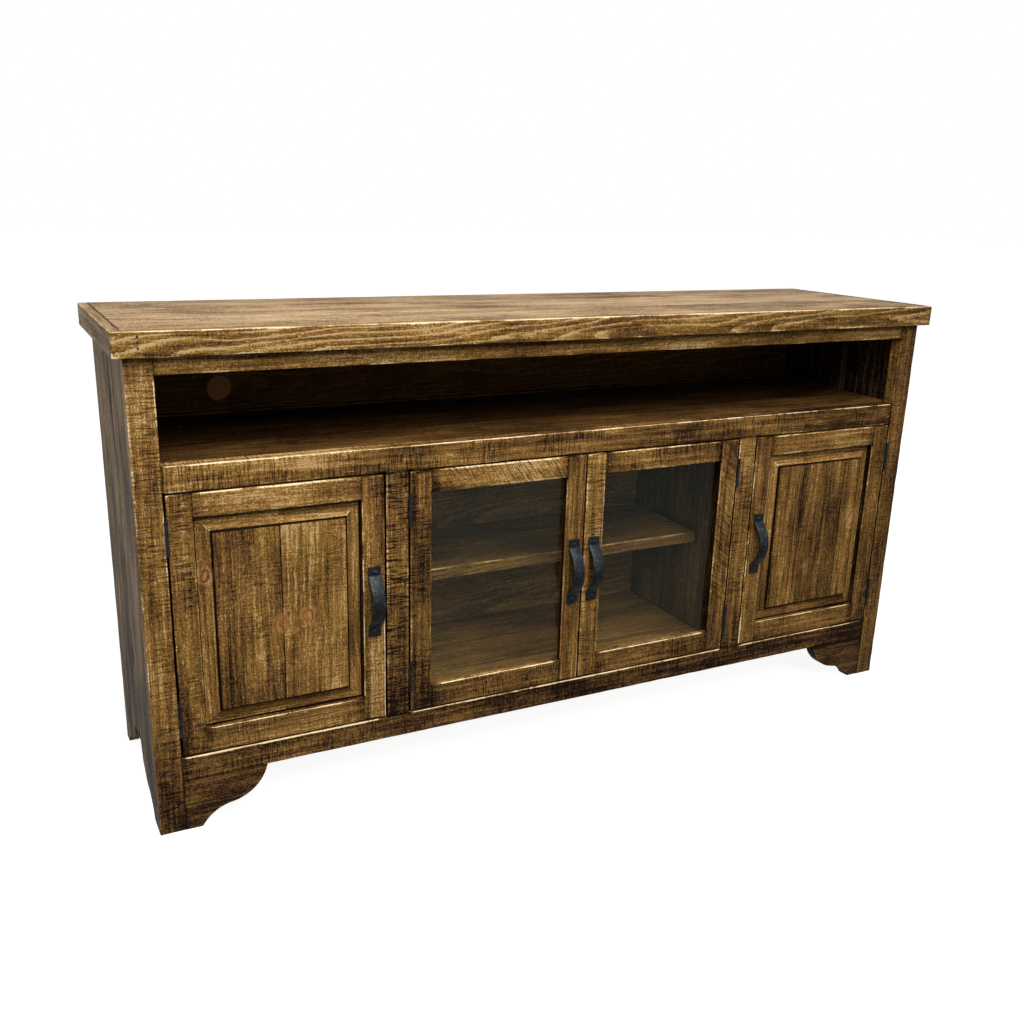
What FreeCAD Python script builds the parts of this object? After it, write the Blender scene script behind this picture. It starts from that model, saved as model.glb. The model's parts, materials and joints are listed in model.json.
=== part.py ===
import FreeCAD, Part
import math
import os
import re

import Sketcher

# Rustic four-door TV stand in stained pine. Millimetres, +Z up, front towards -Y.
# The origin lies on the floor, under the middle of the whole stand.

SIZES = {
    # overall
    "case_width": 1742,
    "case_depth": 415,
    "total_height": 914,
    "rear_overhang": 35,
    # top
    "top_thickness": 30,
    "band_thickness": 18,
    "band_height": 43,
    # face frame
    "frame_thickness": 30,
    "stile_width": 47,
    "mid_stile_width": 45,
    "centre_opening": 770,
    "top_rail_height": 44,
    "mid_rail_height": 47,
    "bottom_rail_height": 46,
    "door_opening_height": 495,
    "tenon_length": 20,
    "tenon_thickness": 10,
    "tenon_shoulder": 12,
    "tenon_play": 0.2,
    # scroll feet
    "foot_height": 101,
    "foot_flat": 30,
    "bracket_width": 155,
    "knee_run": 56,
    "knee_height": 37,
    "lower_scroll_radius": 78,
    "upper_scroll_radius": 82,
    # case panels
    "side_thickness": 20,
    "front_plank_width": 156,
    "middle_plank_width": 134,
    "panel_thickness": 19,
    "shelf_thickness": 25,
    "shelf_height": 237,
    "shelf_setback": 150,
    "housing_depth": 6,
    "back_thickness": 12,
    "hole_diameter": 50,
    "hole_from_side": 234,
    "hole_above_floor": 52,
    "joint_width": 2,
    "joint_depth": 1.2,
    # doors
    "door_thickness": 30,
    "door_gap": 3,
    "door_stile_width": 44,
    "door_top_rail": 44,
    "door_bottom_rail": 48,
    # raised panels
    "panel_setback": 12,
    "tongue_thickness": 8,
    "tongue_reach": 9,
    "tongue_play": 0.2,
    "border_width": 28,
    "border_rise": 7,
    "cove_land": 12,
    "cove_radius": 32,
    "field_step": 3,
    # panes
    "pane_thickness": 3,
    "pane_lap": 9,
    "pane_play": 0.5,
    "clip_width": 12,
    "clip_lap": 6,
    "clip_seat": 22,
    "clip_thickness": 1.5,
    "clip_from_corner": 70,
    # pulls
    "pull_length": 138,
    "pull_width": 25,
    "pull_tab": 20,
    "pull_reach": 30,
    "strap_thickness": 4,
    # hinges
    "hinge_height": 64,
    "hinge_inset": 42,
    "barrel_radius": 3.2,
    "barrel_gap": 0.2,
    "knuckle_gap": 0.3,
    "pin_radius": 1.6,
    "pin_clearance": 0.05,
    "leaf_gap": 0.6,
    "leaf_inset": 0.5,
    "leaf_depth": 20,
    # catches
    "catch_width": 32,
    "catch_depth": 15,
    "catch_height": 46,
    "catch_inset": 18,
    "catch_gap": 0.3,
    "strike_drop": 9,
    "strike_radius": 5,
    "strike_height": 1.2,
    # screws and nails
    "hole_clearance": 0.05,
    "leaf_screw_radius": 1.5,
    "leaf_screw_head": 2.7,
    "leaf_screw_length": 14,
    "round_screw_radius": 2,
    "round_screw_head": 4.5,
    "round_screw_dome": 2.5,
    "round_screw_length": 18,
    "nail_radius": 1,
    "nail_length": 28,
    "nail_head": 2.2,
    "nail_head_height": 0.6,
    "nail_from_end": 23,
    "nail_pitch": 9,
    "foot_nail_inset": 6,
    "foot_nail_height": 23,
}

TOP_BOARDS = 3
BACK_BOARDS = 4
BACK_NAILS_PER_LINE = 5
LEAF_SCREWS = 3

# Reference planes, as sums of the sizes above. Depths are measured back from the face frame.
FRONT = "-(case_depth + rear_overhang - pull_reach) / 2"
HALF = "case_width / 2"
INSIDE = "case_width / 2 - side_thickness"
TOP_UNDER = "total_height - top_thickness"
BAY_FLOOR = "foot_height + bottom_rail_height"
DOOR_HEAD = f"{BAY_FLOOR} + door_opening_height"
SILL = f"{DOOR_HEAD} + mid_rail_height"
SILL_UNDER = f"{SILL} - panel_thickness"
OUTER_EDGE = "case_width / 2 - stile_width"
MID_INNER = "centre_opening / 2"
MID_OUTER = "centre_opening / 2 + mid_stile_width"
PARTITION = "centre_opening / 2 + mid_stile_width / 2"
PARTITION_FACE = f"{PARTITION} - panel_thickness / 2"
BACK_FACE = "case_depth - back_thickness"
TOP_DEPTH = "case_depth + rear_overhang"

DOOR_LOW = f"{BAY_FLOOR} + door_gap"
DOOR_HIGH = f"{DOOR_HEAD} - door_gap"
DOOR_MIDDLE = f"{BAY_FLOOR} + door_opening_height / 2"
OPENING_LOW = f"{DOOR_LOW} + door_bottom_rail"
OPENING_HIGH = f"{DOOR_HIGH} - door_top_rail"
OUTER_DOOR_WIDTH = f"{OUTER_EDGE} - ({MID_OUTER}) - 2 * door_gap"
GLASS_DOOR_WIDTH = f"{MID_INNER} - 1.5 * door_gap"

TENON_DEPTH = ("(frame_thickness - tenon_thickness) / 2", "(frame_thickness + tenon_thickness) / 2")
DOOR_TENON_DEPTH = ("panel_setback", "panel_setback + tongue_thickness")
PIN_DEPTH = "-(barrel_radius + barrel_gap)"
LEAF_THICKNESS = "(door_gap - leaf_gap) / 2"
KNUCKLE_PITCH = "(hinge_height + knuckle_gap) / 3"
PANE_DEPTH = ("panel_setback", "panel_setback + pane_thickness")
CLIP_BACK = "door_thickness + clip_thickness"
CLIP_SCREW = "(pane_lap + clip_seat) / 2"
CLIP_BENDS = {
    "toe": (("pane_lap - clip_lap", "pane_lap"), (PANE_DEPTH[1], f"{PANE_DEPTH[1]} + clip_thickness")),
    "leg": (("pane_lap - clip_thickness", "pane_lap"), (PANE_DEPTH[1], CLIP_BACK)),
    "foot": (("pane_lap - clip_thickness", "clip_seat"), ("door_thickness", CLIP_BACK)),
}
STRIKE_LEVEL = f"{SILL_UNDER} - catch_height + strike_drop"

# Middle of the cutter that coves a raised panel's border, from the land's edge up to the field's edge.
COVE_RUN = "(border_width - cove_land)"
COVE_CHORD = f"sqrt({COVE_RUN} ^ 2 + border_rise ^ 2)"
COVE_REACH = f"sqrt(cove_radius ^ 2 - ({COVE_CHORD} / 2) ^ 2)"
COVE_INSET = f"(border_width + cove_land) / 2 - {COVE_REACH} * border_rise / {COVE_CHORD}"
COVE_DEPTH = f"panel_setback - border_rise / 2 - {COVE_REACH} * {COVE_RUN} / {COVE_CHORD}"

SIDES = {"left": -1, "right": 1}
X_AXIS = FreeCAD.Vector(1, 0, 0)
Y_AXIS = FreeCAD.Vector(0, 1, 0)
Z_AXIS = FreeCAD.Vector(0, 0, 1)

doc = FreeCAD.newDocument("tv_stand")
sheet = doc.addObject("Spreadsheet::Sheet", "Sizes")
pieces = []


def fill_sheet():
    """Write each driving size in its own row, under its own alias."""
    for row, (name, size) in enumerate(SIZES.items(), start=1):
        sheet.set(f"A{row}", name)
        sheet.set(f"B{row}", str(size))
        sheet.setAlias(f"B{row}", name)
    doc.recompute()


def cell(text):
    """Turn size names in a sum into references to the sheet."""
    return re.sub(r"[a-z_]+", lambda word: f"Sizes.{word[0]}" if word[0] in SIZES else word[0], text)


def value(text):
    return float(sheet.evalExpression(cell(text)))


def bind(item, **sums):
    for name, text in sums.items():
        item.setExpression(name, cell(text))
    return item


def place(item, x, y, z):
    """Put an object at a point whose depth is measured back from the face frame."""
    item.setExpression("Placement.Base.x", cell(x))
    item.setExpression("Placement.Base.y", cell(f"{FRONT} + ({y})"))
    item.setExpression("Placement.Base.z", cell(z))
    return item


def piece(item, label):
    """Keep a finished object as a sub-part under its own name."""
    item.Label = label
    pieces.append(item)
    return item


def span(side, near, far, start="0"):
    """Low and high ends of a stretch from near to far, to one side of a start line."""
    if side > 0:
        return f"{start} + ({near})", f"{start} + ({far})"
    return f"{start} - ({far})", f"{start} - ({near})"


def centred(middle, half):
    return f"{middle} - ({half})", f"{middle} + ({half})"


def box(name, x, y, z):
    """Block between low and high ends along each axis."""
    block = doc.addObject("Part::Box", name)
    bind(block, Length=f"{x[1]} - ({x[0]})", Width=f"{y[1]} - ({y[0]})", Height=f"{z[1]} - ({z[0]})")
    return place(block, x[0], y[0], z[0])


def shouldered(low, high):
    """The part of a board's width that its tenon takes up."""
    return f"{low} + tenon_shoulder", f"{high} - tenon_shoulder"


def tenon_joint(name, x, y, z):
    """Tenon, and the slightly larger mortise that takes it."""
    tenon = box(f"{name}_tenon", x, y, z)
    roomy = [(f"{low} - tenon_play", f"{high} + tenon_play") for low, high in (x, y, z)]
    return tenon, box(f"{name}_mortise", *roomy)


def rod(name, start, direction, radius, length):
    """Round bar from a start point along an axis direction."""
    bar = doc.addObject("Part::Cylinder", name)
    bind(bar, Radius=radius, Height=length)
    bar.Placement = FreeCAD.Placement(FreeCAD.Vector(), FreeCAD.Rotation(Z_AXIS, direction))
    return place(bar, *start)


def taper(name, start, direction, first_radius, last_radius, length):
    """Round taper from a start point along an axis direction."""
    cone = doc.addObject("Part::Cone", name)
    bind(cone, Radius1=first_radius, Radius2=last_radius, Height=length)
    cone.Placement = FreeCAD.Placement(FreeCAD.Vector(), FreeCAD.Rotation(Z_AXIS, direction))
    return place(cone, *start)


def fuse(name, items):
    joined = doc.addObject("Part::MultiFuse", name)
    joined.Shapes = items
    return joined


def group(name, items):
    """Several separate solids that share one sub-part."""
    bunch = doc.addObject("Part::Compound", name)
    bunch.Links = items
    return bunch


def cut(name, base, tools):
    trimmed = doc.addObject("Part::Cut", name)
    trimmed.Base = base
    trimmed.Tool = tools[0] if len(tools) == 1 else group(f"{name}_tools", tools)
    return trimmed


def arc_between(start, end, radius, turn):
    """Anticlockwise arc on two points, bulging to the left (turn 1) or right (turn -1) of the way."""
    chord = end - start
    left = FreeCAD.Vector(-chord.y, chord.x, 0).normalize()
    sagitta = radius - math.sqrt(radius ** 2 - (chord.Length / 2) ** 2)
    crown = start + chord * 0.5 + left * (sagitta * turn)
    return Part.Arc(end, crown, start) if turn > 0 else Part.Arc(start, crown, end)


def padded_outline(name, role, corners, arcs, thickness):
    """Body padded from a closed outline; arcs maps a corner's index to (radius size, turn)."""
    body = doc.addObject("PartDesign::Body", name)
    plane = [feature for feature in body.Origin.OriginFeatures if feature.Role == role][0]
    sketch = body.newObject("Sketcher::SketchObject", f"{name}_outline")
    sketch.AttachmentSupport = [(plane, "")]
    sketch.MapMode = "FlatFace"
    points = [FreeCAD.Vector(value(across), value(up), 0) for across, up in corners]
    for index, start in enumerate(points):
        end = points[(index + 1) % len(points)]
        if index in arcs:
            radius, turn = arcs[index]
            sketch.addGeometry(arc_between(start, end, value(radius), turn))
        else:
            sketch.addGeometry(Part.LineSegment(start, end))
    tie_outline(sketch, corners, arcs)
    pad = body.newObject("PartDesign::Pad", f"{name}_pad")
    pad.Profile = sketch
    pad.setExpression("Length", cell(thickness))
    return body, pad


def tie_outline(sketch, corners, arcs):
    """Join the outline's edges and bind each corner and radius to the sheet."""
    reversed_edges = [index for index, (radius, turn) in arcs.items() if turn > 0]
    first = [2 if index in reversed_edges else 1 for index in range(len(corners))]
    for index, (across, up) in enumerate(corners):
        following = (index + 1) % len(corners)
        meeting = Sketcher.Constraint("Coincident", index, 3 - first[index], following, first[following])
        sketch.addConstraint(meeting)
        for kind, text in (("DistanceX", across), ("DistanceY", up)):
            rule = sketch.addConstraint(Sketcher.Constraint(kind, -1, 1, index, first[index], value(text)))
            sketch.setExpression(f"Constraints[{rule}]", cell(text))
    for index, (radius, turn) in arcs.items():
        rule = sketch.addConstraint(Sketcher.Constraint("Radius", index, value(radius)))
        sketch.setExpression(f"Constraints[{rule}]", cell(radius))


def scroll(root, inward):
    """Corners of a scroll foot's curve, from the floor up to the rail, running inward from root."""
    step = "+" if inward > 0 else "-"
    return [
        (f"{root} {step} foot_flat", "0"),
        (f"{root} {step} (foot_flat + knee_run)", "knee_height"),
        (f"{root} {step} bracket_width", "foot_height"),
    ]


# Top


def make_top():
    depth = ("0", TOP_DEPTH)
    width = span(1, f"-({HALF})", HALF)
    band = ("total_height - band_height", "total_height")
    field = box("top_field", width, depth, (TOP_UNDER, "total_height"))
    groove = ("total_height - joint_depth", "total_height")
    joints = []
    for number in range(1, TOP_BOARDS):
        middle = centred(f"({TOP_DEPTH}) * {number} / {TOP_BOARDS}", "joint_width / 2")
        joints.append(box(f"top_joint_{number}", width, middle, groove))
    piece(cut("top_panel", field, joints), "top_panel")
    for name, side in SIDES.items():
        end = span(side, HALF, f"{HALF} + band_thickness")
        piece(box(f"top_{name}_end", end, depth, band), f"top_{name}_end")
    length = span(1, f"-({HALF}) - band_thickness", f"{HALF} + band_thickness")
    piece(box("top_front_band", length, ("-band_thickness", "0"), band), "top_front_band")


# Face frame and feet


def make_face_frame():
    """Rails tenoned into the outer stiles, and mid stiles tenoned into the rails above and below."""
    thickness = ("0", "frame_thickness")
    between = span(1, f"-({OUTER_EDGE})", OUTER_EDGE)
    rails = {
        "top_rail": (f"{TOP_UNDER} - top_rail_height", TOP_UNDER),
        "mid_rail": (DOOR_HEAD, SILL),
        "bottom_rail": ("foot_height", BAY_FLOOR),
    }
    mortises = {"left_stile": [], "right_stile": [], "top_rail": [], "mid_rail": [], "bottom_rail": []}
    blanks = {}
    for rail, height in rails.items():
        solids = [box(f"{rail}_length", between, thickness, height)]
        for name, side in SIDES.items():
            x = span(side, OUTER_EDGE, f"{OUTER_EDGE} + tenon_length")
            tenon, mortise = tenon_joint(f"{name}_{rail}", x, TENON_DEPTH, shouldered(*height))
            solids.append(tenon)
            mortises[f"{name}_stile"].append(mortise)
        blanks[rail] = fuse(f"{rail}_blank", solids)
    for name, side in SIDES.items():
        stile = span(side, OUTER_EDGE, HALF)
        blanks[f"{name}_stile"] = box(f"{name}_stile_blank", stile, thickness, ("0", TOP_UNDER))
        ends = {
            "bottom_rail": span(-1, "0", "tenon_length", BAY_FLOOR),
            "mid_rail": span(1, "0", "tenon_length", DOOR_HEAD),
        }
        mid = span(side, MID_INNER, MID_OUTER)
        solids = [box(f"{name}_mid_length", mid, thickness, (BAY_FLOOR, DOOR_HEAD))]
        for rail, height in ends.items():
            x = span(side, *shouldered(MID_INNER, MID_OUTER))
            tenon, mortise = tenon_joint(f"{name}_mid_{rail}", x, TENON_DEPTH, height)
            solids.append(tenon)
            mortises[rail].append(mortise)
        piece(fuse(f"{name}_mid_stile", solids), f"{name}_mid_stile")
    for name, blank in blanks.items():
        piece(cut(name, blank, mortises[name]) if mortises[name] else blank, name)


def make_bracket_feet():
    for name, side in SIDES.items():
        inward = -side
        corners = [("0", "0")] + scroll("0", inward) + [("0", "foot_height")]
        arcs = {1: ("lower_scroll_radius", inward), 2: ("upper_scroll_radius", -inward)}
        body, pad = padded_outline(f"{name}_bracket_foot", "XZ_Plane", corners, arcs, "frame_thickness")
        pad.Reversed = True
        place(body, span(side, OUTER_EDGE, OUTER_EDGE)[0], "0", "0")
        piece(body, f"{name}_bracket_foot")


# Case panels


def make_side_panels():
    front_foot = scroll("frame_thickness", 1)
    rear_foot = scroll("case_depth", -1)[::-1]
    corners = [("frame_thickness", "0")] + front_foot + rear_foot
    corners += [("case_depth", "0"), ("case_depth", TOP_UNDER), ("frame_thickness", TOP_UNDER)]
    arcs = {
        1: ("lower_scroll_radius", 1),
        2: ("upper_scroll_radius", -1),
        4: ("upper_scroll_radius", -1),
        5: ("lower_scroll_radius", 1),
    }
    joints = {
        "front": "frame_thickness + front_plank_width",
        "rear": "frame_thickness + front_plank_width + middle_plank_width",
    }
    for name, side in SIDES.items():
        body, pad = padded_outline(f"{name}_side_planks", "YZ_Plane", corners, arcs, "side_thickness")
        place(body, span(side, INSIDE, HALF)[0], "0", "0")
        grooves = [
            box(f"{name}_side_{end}_joint", span(side, f"{HALF} - joint_depth", HALF),
                centred(middle, "joint_width / 2"), ("0", TOP_UNDER))
            for end, middle in joints.items()
        ]
        piece(cut(f"{name}_side_panel", body, grooves), f"{name}_side_panel")


def make_floors_and_shelf():
    inside = span(1, f"-({INSIDE})", INSIDE)
    depth = ("frame_thickness", BACK_FACE)
    piece(box("bottom_panel", inside, depth, (f"{BAY_FLOOR} - panel_thickness", BAY_FLOOR)), "bottom_panel")
    piece(box("cubby_floor", inside, depth, (SILL_UNDER, SILL)), "cubby_floor")
    housed = f"{PARTITION_FACE} + housing_depth"
    shelf_depth = ("shelf_setback", BACK_FACE)
    shelf_level = (f"{BAY_FLOOR} + shelf_height - shelf_thickness", f"{BAY_FLOOR} + shelf_height")
    piece(box("centre_shelf", span(1, f"-({housed})", housed), shelf_depth, shelf_level), "centre_shelf")
    for name, side in SIDES.items():
        slab = box(f"{name}_partition_slab", span(side, PARTITION_FACE, f"{PARTITION} + panel_thickness / 2"),
                   depth, (BAY_FLOOR, SILL_UNDER))
        housing = box(f"{name}_shelf_housing", span(side, PARTITION_FACE, housed), shelf_depth, shelf_level)
        piece(cut(f"{name}_partition", slab, [housing]), f"{name}_partition")


def make_back_panel():
    inside = span(1, f"-({INSIDE})", INSIDE)
    low = f"{BAY_FLOOR} - panel_thickness"
    slab = box("back_boards", inside, (BACK_FACE, "case_depth"), (low, TOP_UNDER))
    hole_place = (f"hole_from_side - ({HALF})", BACK_FACE, f"{SILL} + hole_above_floor")
    tools = [rod("cable_hole", hole_place, Y_AXIS, "hole_diameter / 2", "back_thickness")]
    faces = {
        "inner": (BACK_FACE, f"{BACK_FACE} + joint_depth"),
        "outer": ("case_depth - joint_depth", "case_depth"),
    }
    for number in range(1, BACK_BOARDS):
        middle = f"{low} + ({TOP_UNDER} - ({low})) * {number} / {BACK_BOARDS}"
        height = centred(middle, "joint_width / 2")
        for face, depth in faces.items():
            tools.append(box(f"back_{face}_joint_{number}", inside, depth, height))
    piece(cut("back_panel", slab, tools), "back_panel")


# Fasteners


def nail(name, x, y, z, inward):
    """Round-head nail whose head lies flush in the face at depth y; inward is 1 for towards the back."""
    direction = Y_AXIS * inward
    shank = rod(f"{name}_shank", (x, y, z), direction, "nail_radius", "nail_length")
    head = rod(f"{name}_head", (x, y, z), direction, "nail_head", "nail_head_height")
    return fuse(name, [shank, head])


def round_screw(name, x, y, z, inward):
    """Round-head screw seated on the face at depth y."""
    head = taper(f"{name}_head", (x, y, z), Y_AXIS * -inward, "round_screw_head", "round_screw_head / 2",
                 "round_screw_dome")
    shank = rod(f"{name}_shank", (x, y, z), Y_AXIS * inward, "round_screw_radius", "round_screw_length")
    return fuse(name, [head, shank])


def strike_screw(name, x, y, z):
    """Flat-head steel screw in the back of a door, which the magnet holds."""
    head = rod(f"{name}_head", (x, y, z), Y_AXIS, "strike_radius", "strike_height")
    shank = rod(f"{name}_shank", (x, y, z), Y_AXIS * -1, "round_screw_radius", "round_screw_length")
    return fuse(name, [head, shank])


def leaf_screw(name, x, y, z, direction):
    """Countersunk screw whose head lies flush in a hinge leaf."""
    head = taper(f"{name}_head", (x, y, z), X_AXIS * direction, "leaf_screw_head", "leaf_screw_radius",
                 LEAF_THICKNESS)
    shank = rod(f"{name}_shank", (x, y, z), X_AXIS * direction, "leaf_screw_radius", "leaf_screw_length")
    return fuse(name, [head, shank])


def make_case_nails():
    """Nails of the front band, the bracket feet and the back panel: they share one sub-part."""
    nails = []
    for name, side in SIDES.items():
        band_x = f"{side} * ({HALF} - nail_from_end)"
        for row in (1, 2, 3):
            height = f"total_height - {row} * nail_pitch"
            nails.append(nail(f"{name}_band_nail_{row}", band_x, "-band_thickness", height, 1))
        foot_x = f"{side} * ({OUTER_EDGE} - foot_nail_inset)"
        nails.append(nail(f"{name}_foot_nail", foot_x, "0", "foot_nail_height", 1))
        back_x = f"{side} * ({PARTITION})"
        for row in range(BACK_NAILS_PER_LINE):
            share = (row + 0.5) / BACK_NAILS_PER_LINE
            height = f"{BAY_FLOOR} + ({SILL_UNDER} - ({BAY_FLOOR})) * {share}"
            nails.append(nail(f"{name}_back_nail_{row}", back_x, "case_depth", height, -1))
    for level, surface in (("floor", BAY_FLOOR), ("sill", SILL)):
        middle = f"{surface} - panel_thickness / 2"
        for column in range(BACK_NAILS_PER_LINE + 2):
            share = (column + 0.5) / (BACK_NAILS_PER_LINE + 2) * 2 - 1
            x = f"({INSIDE}) * {share}"
            nails.append(nail(f"back_{level}_nail_{column}", x, "case_depth", middle, -1))
    piece(group("case_nails", nails), "case_nails")


# Hinges


def leaf(name, door, low, near, numbers, screw_start, direction):
    """Hinge leaf: plate, barrel knuckles and necks, with pin bore and countersunk screw holes."""
    axis_x = door["axis"]
    plate_x = span(door["side"], near, f"{near} + {LEAF_THICKNESS}", door["edge"])
    neck_depth = (f"{PIN_DEPTH} + (pin_radius + barrel_radius) / 2", "leaf_inset")
    solids = [box(f"{name}_plate", plate_x, ("leaf_inset", "leaf_depth"), (low, f"{low} + hinge_height"))]
    for number in numbers:
        start = f"{low} + {KNUCKLE_PITCH} * {number}"
        length = f"{KNUCKLE_PITCH} - knuckle_gap"
        barrel_end = (axis_x, PIN_DEPTH, start)
        solids.append(rod(f"{name}_knuckle_{number}", barrel_end, Z_AXIS, "barrel_radius", length))
        solids.append(box(f"{name}_neck_{number}", plate_x, neck_depth, (start, f"{start} + {length}")))
    bore_radius = "pin_radius + pin_clearance"
    holes = [rod(f"{name}_bore", (axis_x, PIN_DEPTH, low), Z_AXIS, bore_radius, "hinge_height")]
    wide = "leaf_screw_head + hole_clearance"
    narrow = "leaf_screw_radius + hole_clearance"
    for number, (y, z) in enumerate(screw_places(low)):
        start = (screw_start, y, z)
        holes.append(taper(f"{name}_hole_{number}", start, X_AXIS * direction, wide, narrow, LEAF_THICKNESS))
    return cut(name, fuse(f"{name}_blank", solids), holes)


def screw_places(low):
    """Depth and height of each screw in a leaf."""
    middle = "(leaf_inset + leaf_depth) / 2"
    shares = [(number + 0.5) / LEAF_SCREWS for number in range(LEAF_SCREWS)]
    return [(middle, f"{low} + hinge_height * {share}") for share in shares]


def hinge_levels():
    return {"upper": f"{DOOR_HIGH} - hinge_inset - hinge_height", "lower": f"{DOOR_LOW} + hinge_inset"}


def make_frame_hinges(doors):
    """Frame leaves, their screws and the pins of all hinges: each kind shares one sub-part."""
    leaves = []
    screws = []
    pins = []
    for door in doors:
        side = door["side"]
        surface = f"{door['edge']} + {side} * {LEAF_THICKNESS}"
        for level, low in hinge_levels().items():
            name = f"{door['name']}_{level}"
            leaves.append(leaf(f"{name}_frame_leaf", door, low, "0", (0, 2), surface, -side))
            pin_end = (door["axis"], PIN_DEPTH, low)
            pins.append(rod(f"{name}_pin", pin_end, Z_AXIS, "pin_radius", "hinge_height"))
            for number, (y, z) in enumerate(screw_places(low)):
                screws.append(leaf_screw(f"{name}_frame_screw_{number}", surface, y, z, -side))
    piece(group("hinge_frame_leaves", leaves), "hinge_frame_leaves")
    piece(group("hinge_frame_screws", screws), "hinge_frame_screws")
    piece(group("hinge_pins", pins), "hinge_pins")


def door_hinge_leaves(door):
    """The two leaves on a door and the screws that hold them."""
    side = door["side"]
    near = f"door_gap - {LEAF_THICKNESS}"
    surface = f"{door['edge']} + {side} * ({near})"
    screws = []
    leaves = []
    for level, low in hinge_levels().items():
        name = f"{door['name']}_{level}"
        leaves.append(leaf(f"{name}_door_leaf", door, low, near, (1,), surface, side))
        for number, (y, z) in enumerate(screw_places(low)):
            screws.append(leaf_screw(f"{name}_door_screw_{number}", surface, y, z, side))
    piece(group(f"{door['name']}_hinge_leaves", leaves), f"{door['name']}_hinge_leaves")
    return screws


# Doors


def door_list():
    """Each door's name, hinge edge, the side it reaches to from there, and its width."""
    rows = (
        ("left_door", f"-({OUTER_EDGE})", 1, OUTER_DOOR_WIDTH),
        ("left_glass_door", f"-({MID_INNER})", 1, GLASS_DOOR_WIDTH),
        ("right_glass_door", MID_INNER, -1, GLASS_DOOR_WIDTH),
        ("right_door", OUTER_EDGE, -1, OUTER_DOOR_WIDTH),
    )
    return [
        {
            "name": name,
            "edge": edge,
            "side": side,
            "width": width,
            "axis": f"{edge} + {side} * door_gap / 2",
            "glazed": "glass" in name,
        }
        for name, edge, side, width in rows
    ]


def along(door, near, far):
    """Stretch of a door, measured from its hinge edge towards its pull edge."""
    return span(door["side"], f"door_gap + {near}", f"door_gap + {far}", door["edge"])


def point_along(door, distance):
    return f"{door['edge']} + {door['side']} * (door_gap + {distance})"


def inner_opening(door, margin):
    """Width and height of the space inside a door's frame, let into the frame by a margin."""
    x = along(door, f"door_stile_width - ({margin})", f"{door['width']} - door_stile_width + ({margin})")
    return x, (f"{OPENING_LOW} - ({margin})", f"{OPENING_HIGH} + ({margin})")


def panel_seat(door, label):
    """Space that a door's frame gives to its panel's tongue or its pane's edge."""
    if door["glazed"]:
        x, z = inner_opening(door, "pane_lap")
        return box(f"{label}_seat", x, ("panel_setback", "door_thickness"), z)
    x, z = inner_opening(door, "tongue_reach + tongue_play")
    low, high = DOOR_TENON_DEPTH
    return box(f"{label}_seat", x, (f"{low} - tongue_play", f"{high} + tongue_play"), z)


def make_door_frame(door):
    """Two rails tenoned into two stiles, cut back for the panel or pane that they hold."""
    name = door["name"]
    near = "door_stile_width"
    far = f"{door['width']} - door_stile_width"
    thickness = ("0", "door_thickness")
    rails = {"top_rail": (OPENING_HIGH, DOOR_HIGH), "bottom_rail": (DOOR_LOW, OPENING_LOW)}
    stiles = {
        "hinge_stile": (along(door, "0", near), span(-1, "0", "tongue_reach", near)),
        "pull_stile": (along(door, far, door["width"]), span(1, "0", "tongue_reach", far)),
    }
    mortises = {stile: [] for stile in stiles}
    for rail, height in rails.items():
        label = f"{name}_{rail}"
        solids = [box(f"{label}_length", along(door, near, far), thickness, height)]
        for stile, (width, reach) in stiles.items():
            x = along(door, *reach)
            tenon, mortise = tenon_joint(f"{label}_{stile}", x, DOOR_TENON_DEPTH, shouldered(*height))
            solids.append(tenon)
            mortises[stile].append(mortise)
        piece(cut(label, fuse(f"{label}_blank", solids), [panel_seat(door, label)]), label)
    for stile, (width, reach) in stiles.items():
        label = f"{name}_{stile}"
        blank = box(f"{label}_blank", width, thickness, (DOOR_LOW, DOOR_HIGH))
        piece(cut(label, blank, mortises[stile] + [panel_seat(door, label)]), label)


def make_raised_panel(door):
    """Panel with a thin tongue all round, a flat land, a coved border and a stepped-up field."""
    name = f"{door['name']}_panel"
    tongue_x, tongue_z = inner_opening(door, "tongue_reach")
    field_x, field_z = inner_opening(door, "-border_width")
    cove_x, cove_z = inner_opening(door, f"-({COVE_INSET})")
    crest = "panel_setback - border_rise"
    plate = box(f"{name}_plate", tongue_x, DOOR_TENON_DEPTH, tongue_z)
    field = box(f"{name}_field", field_x, (f"{crest} - field_step", "panel_setback"), field_z)
    blank = box(f"{name}_border", cove_x, (f"{crest} - field_step / 2", "panel_setback + tongue_thickness / 2"), cove_z)
    passes = []
    for number, x in enumerate(cove_x):
        height = f"{tongue_z[1]} - ({tongue_z[0]})"
        passes.append(rod(f"{name}_upright_{number}", (x, COVE_DEPTH, tongue_z[0]), Z_AXIS, "cove_radius", height))
    for number, z in enumerate(cove_z):
        width = f"{tongue_x[1]} - ({tongue_x[0]})"
        passes.append(rod(f"{name}_level_{number}", (tongue_x[0], COVE_DEPTH, z), X_AXIS, "cove_radius", width))
    piece(fuse(name, [plate, cut(f"{name}_cove", blank, passes), field]), name)


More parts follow.
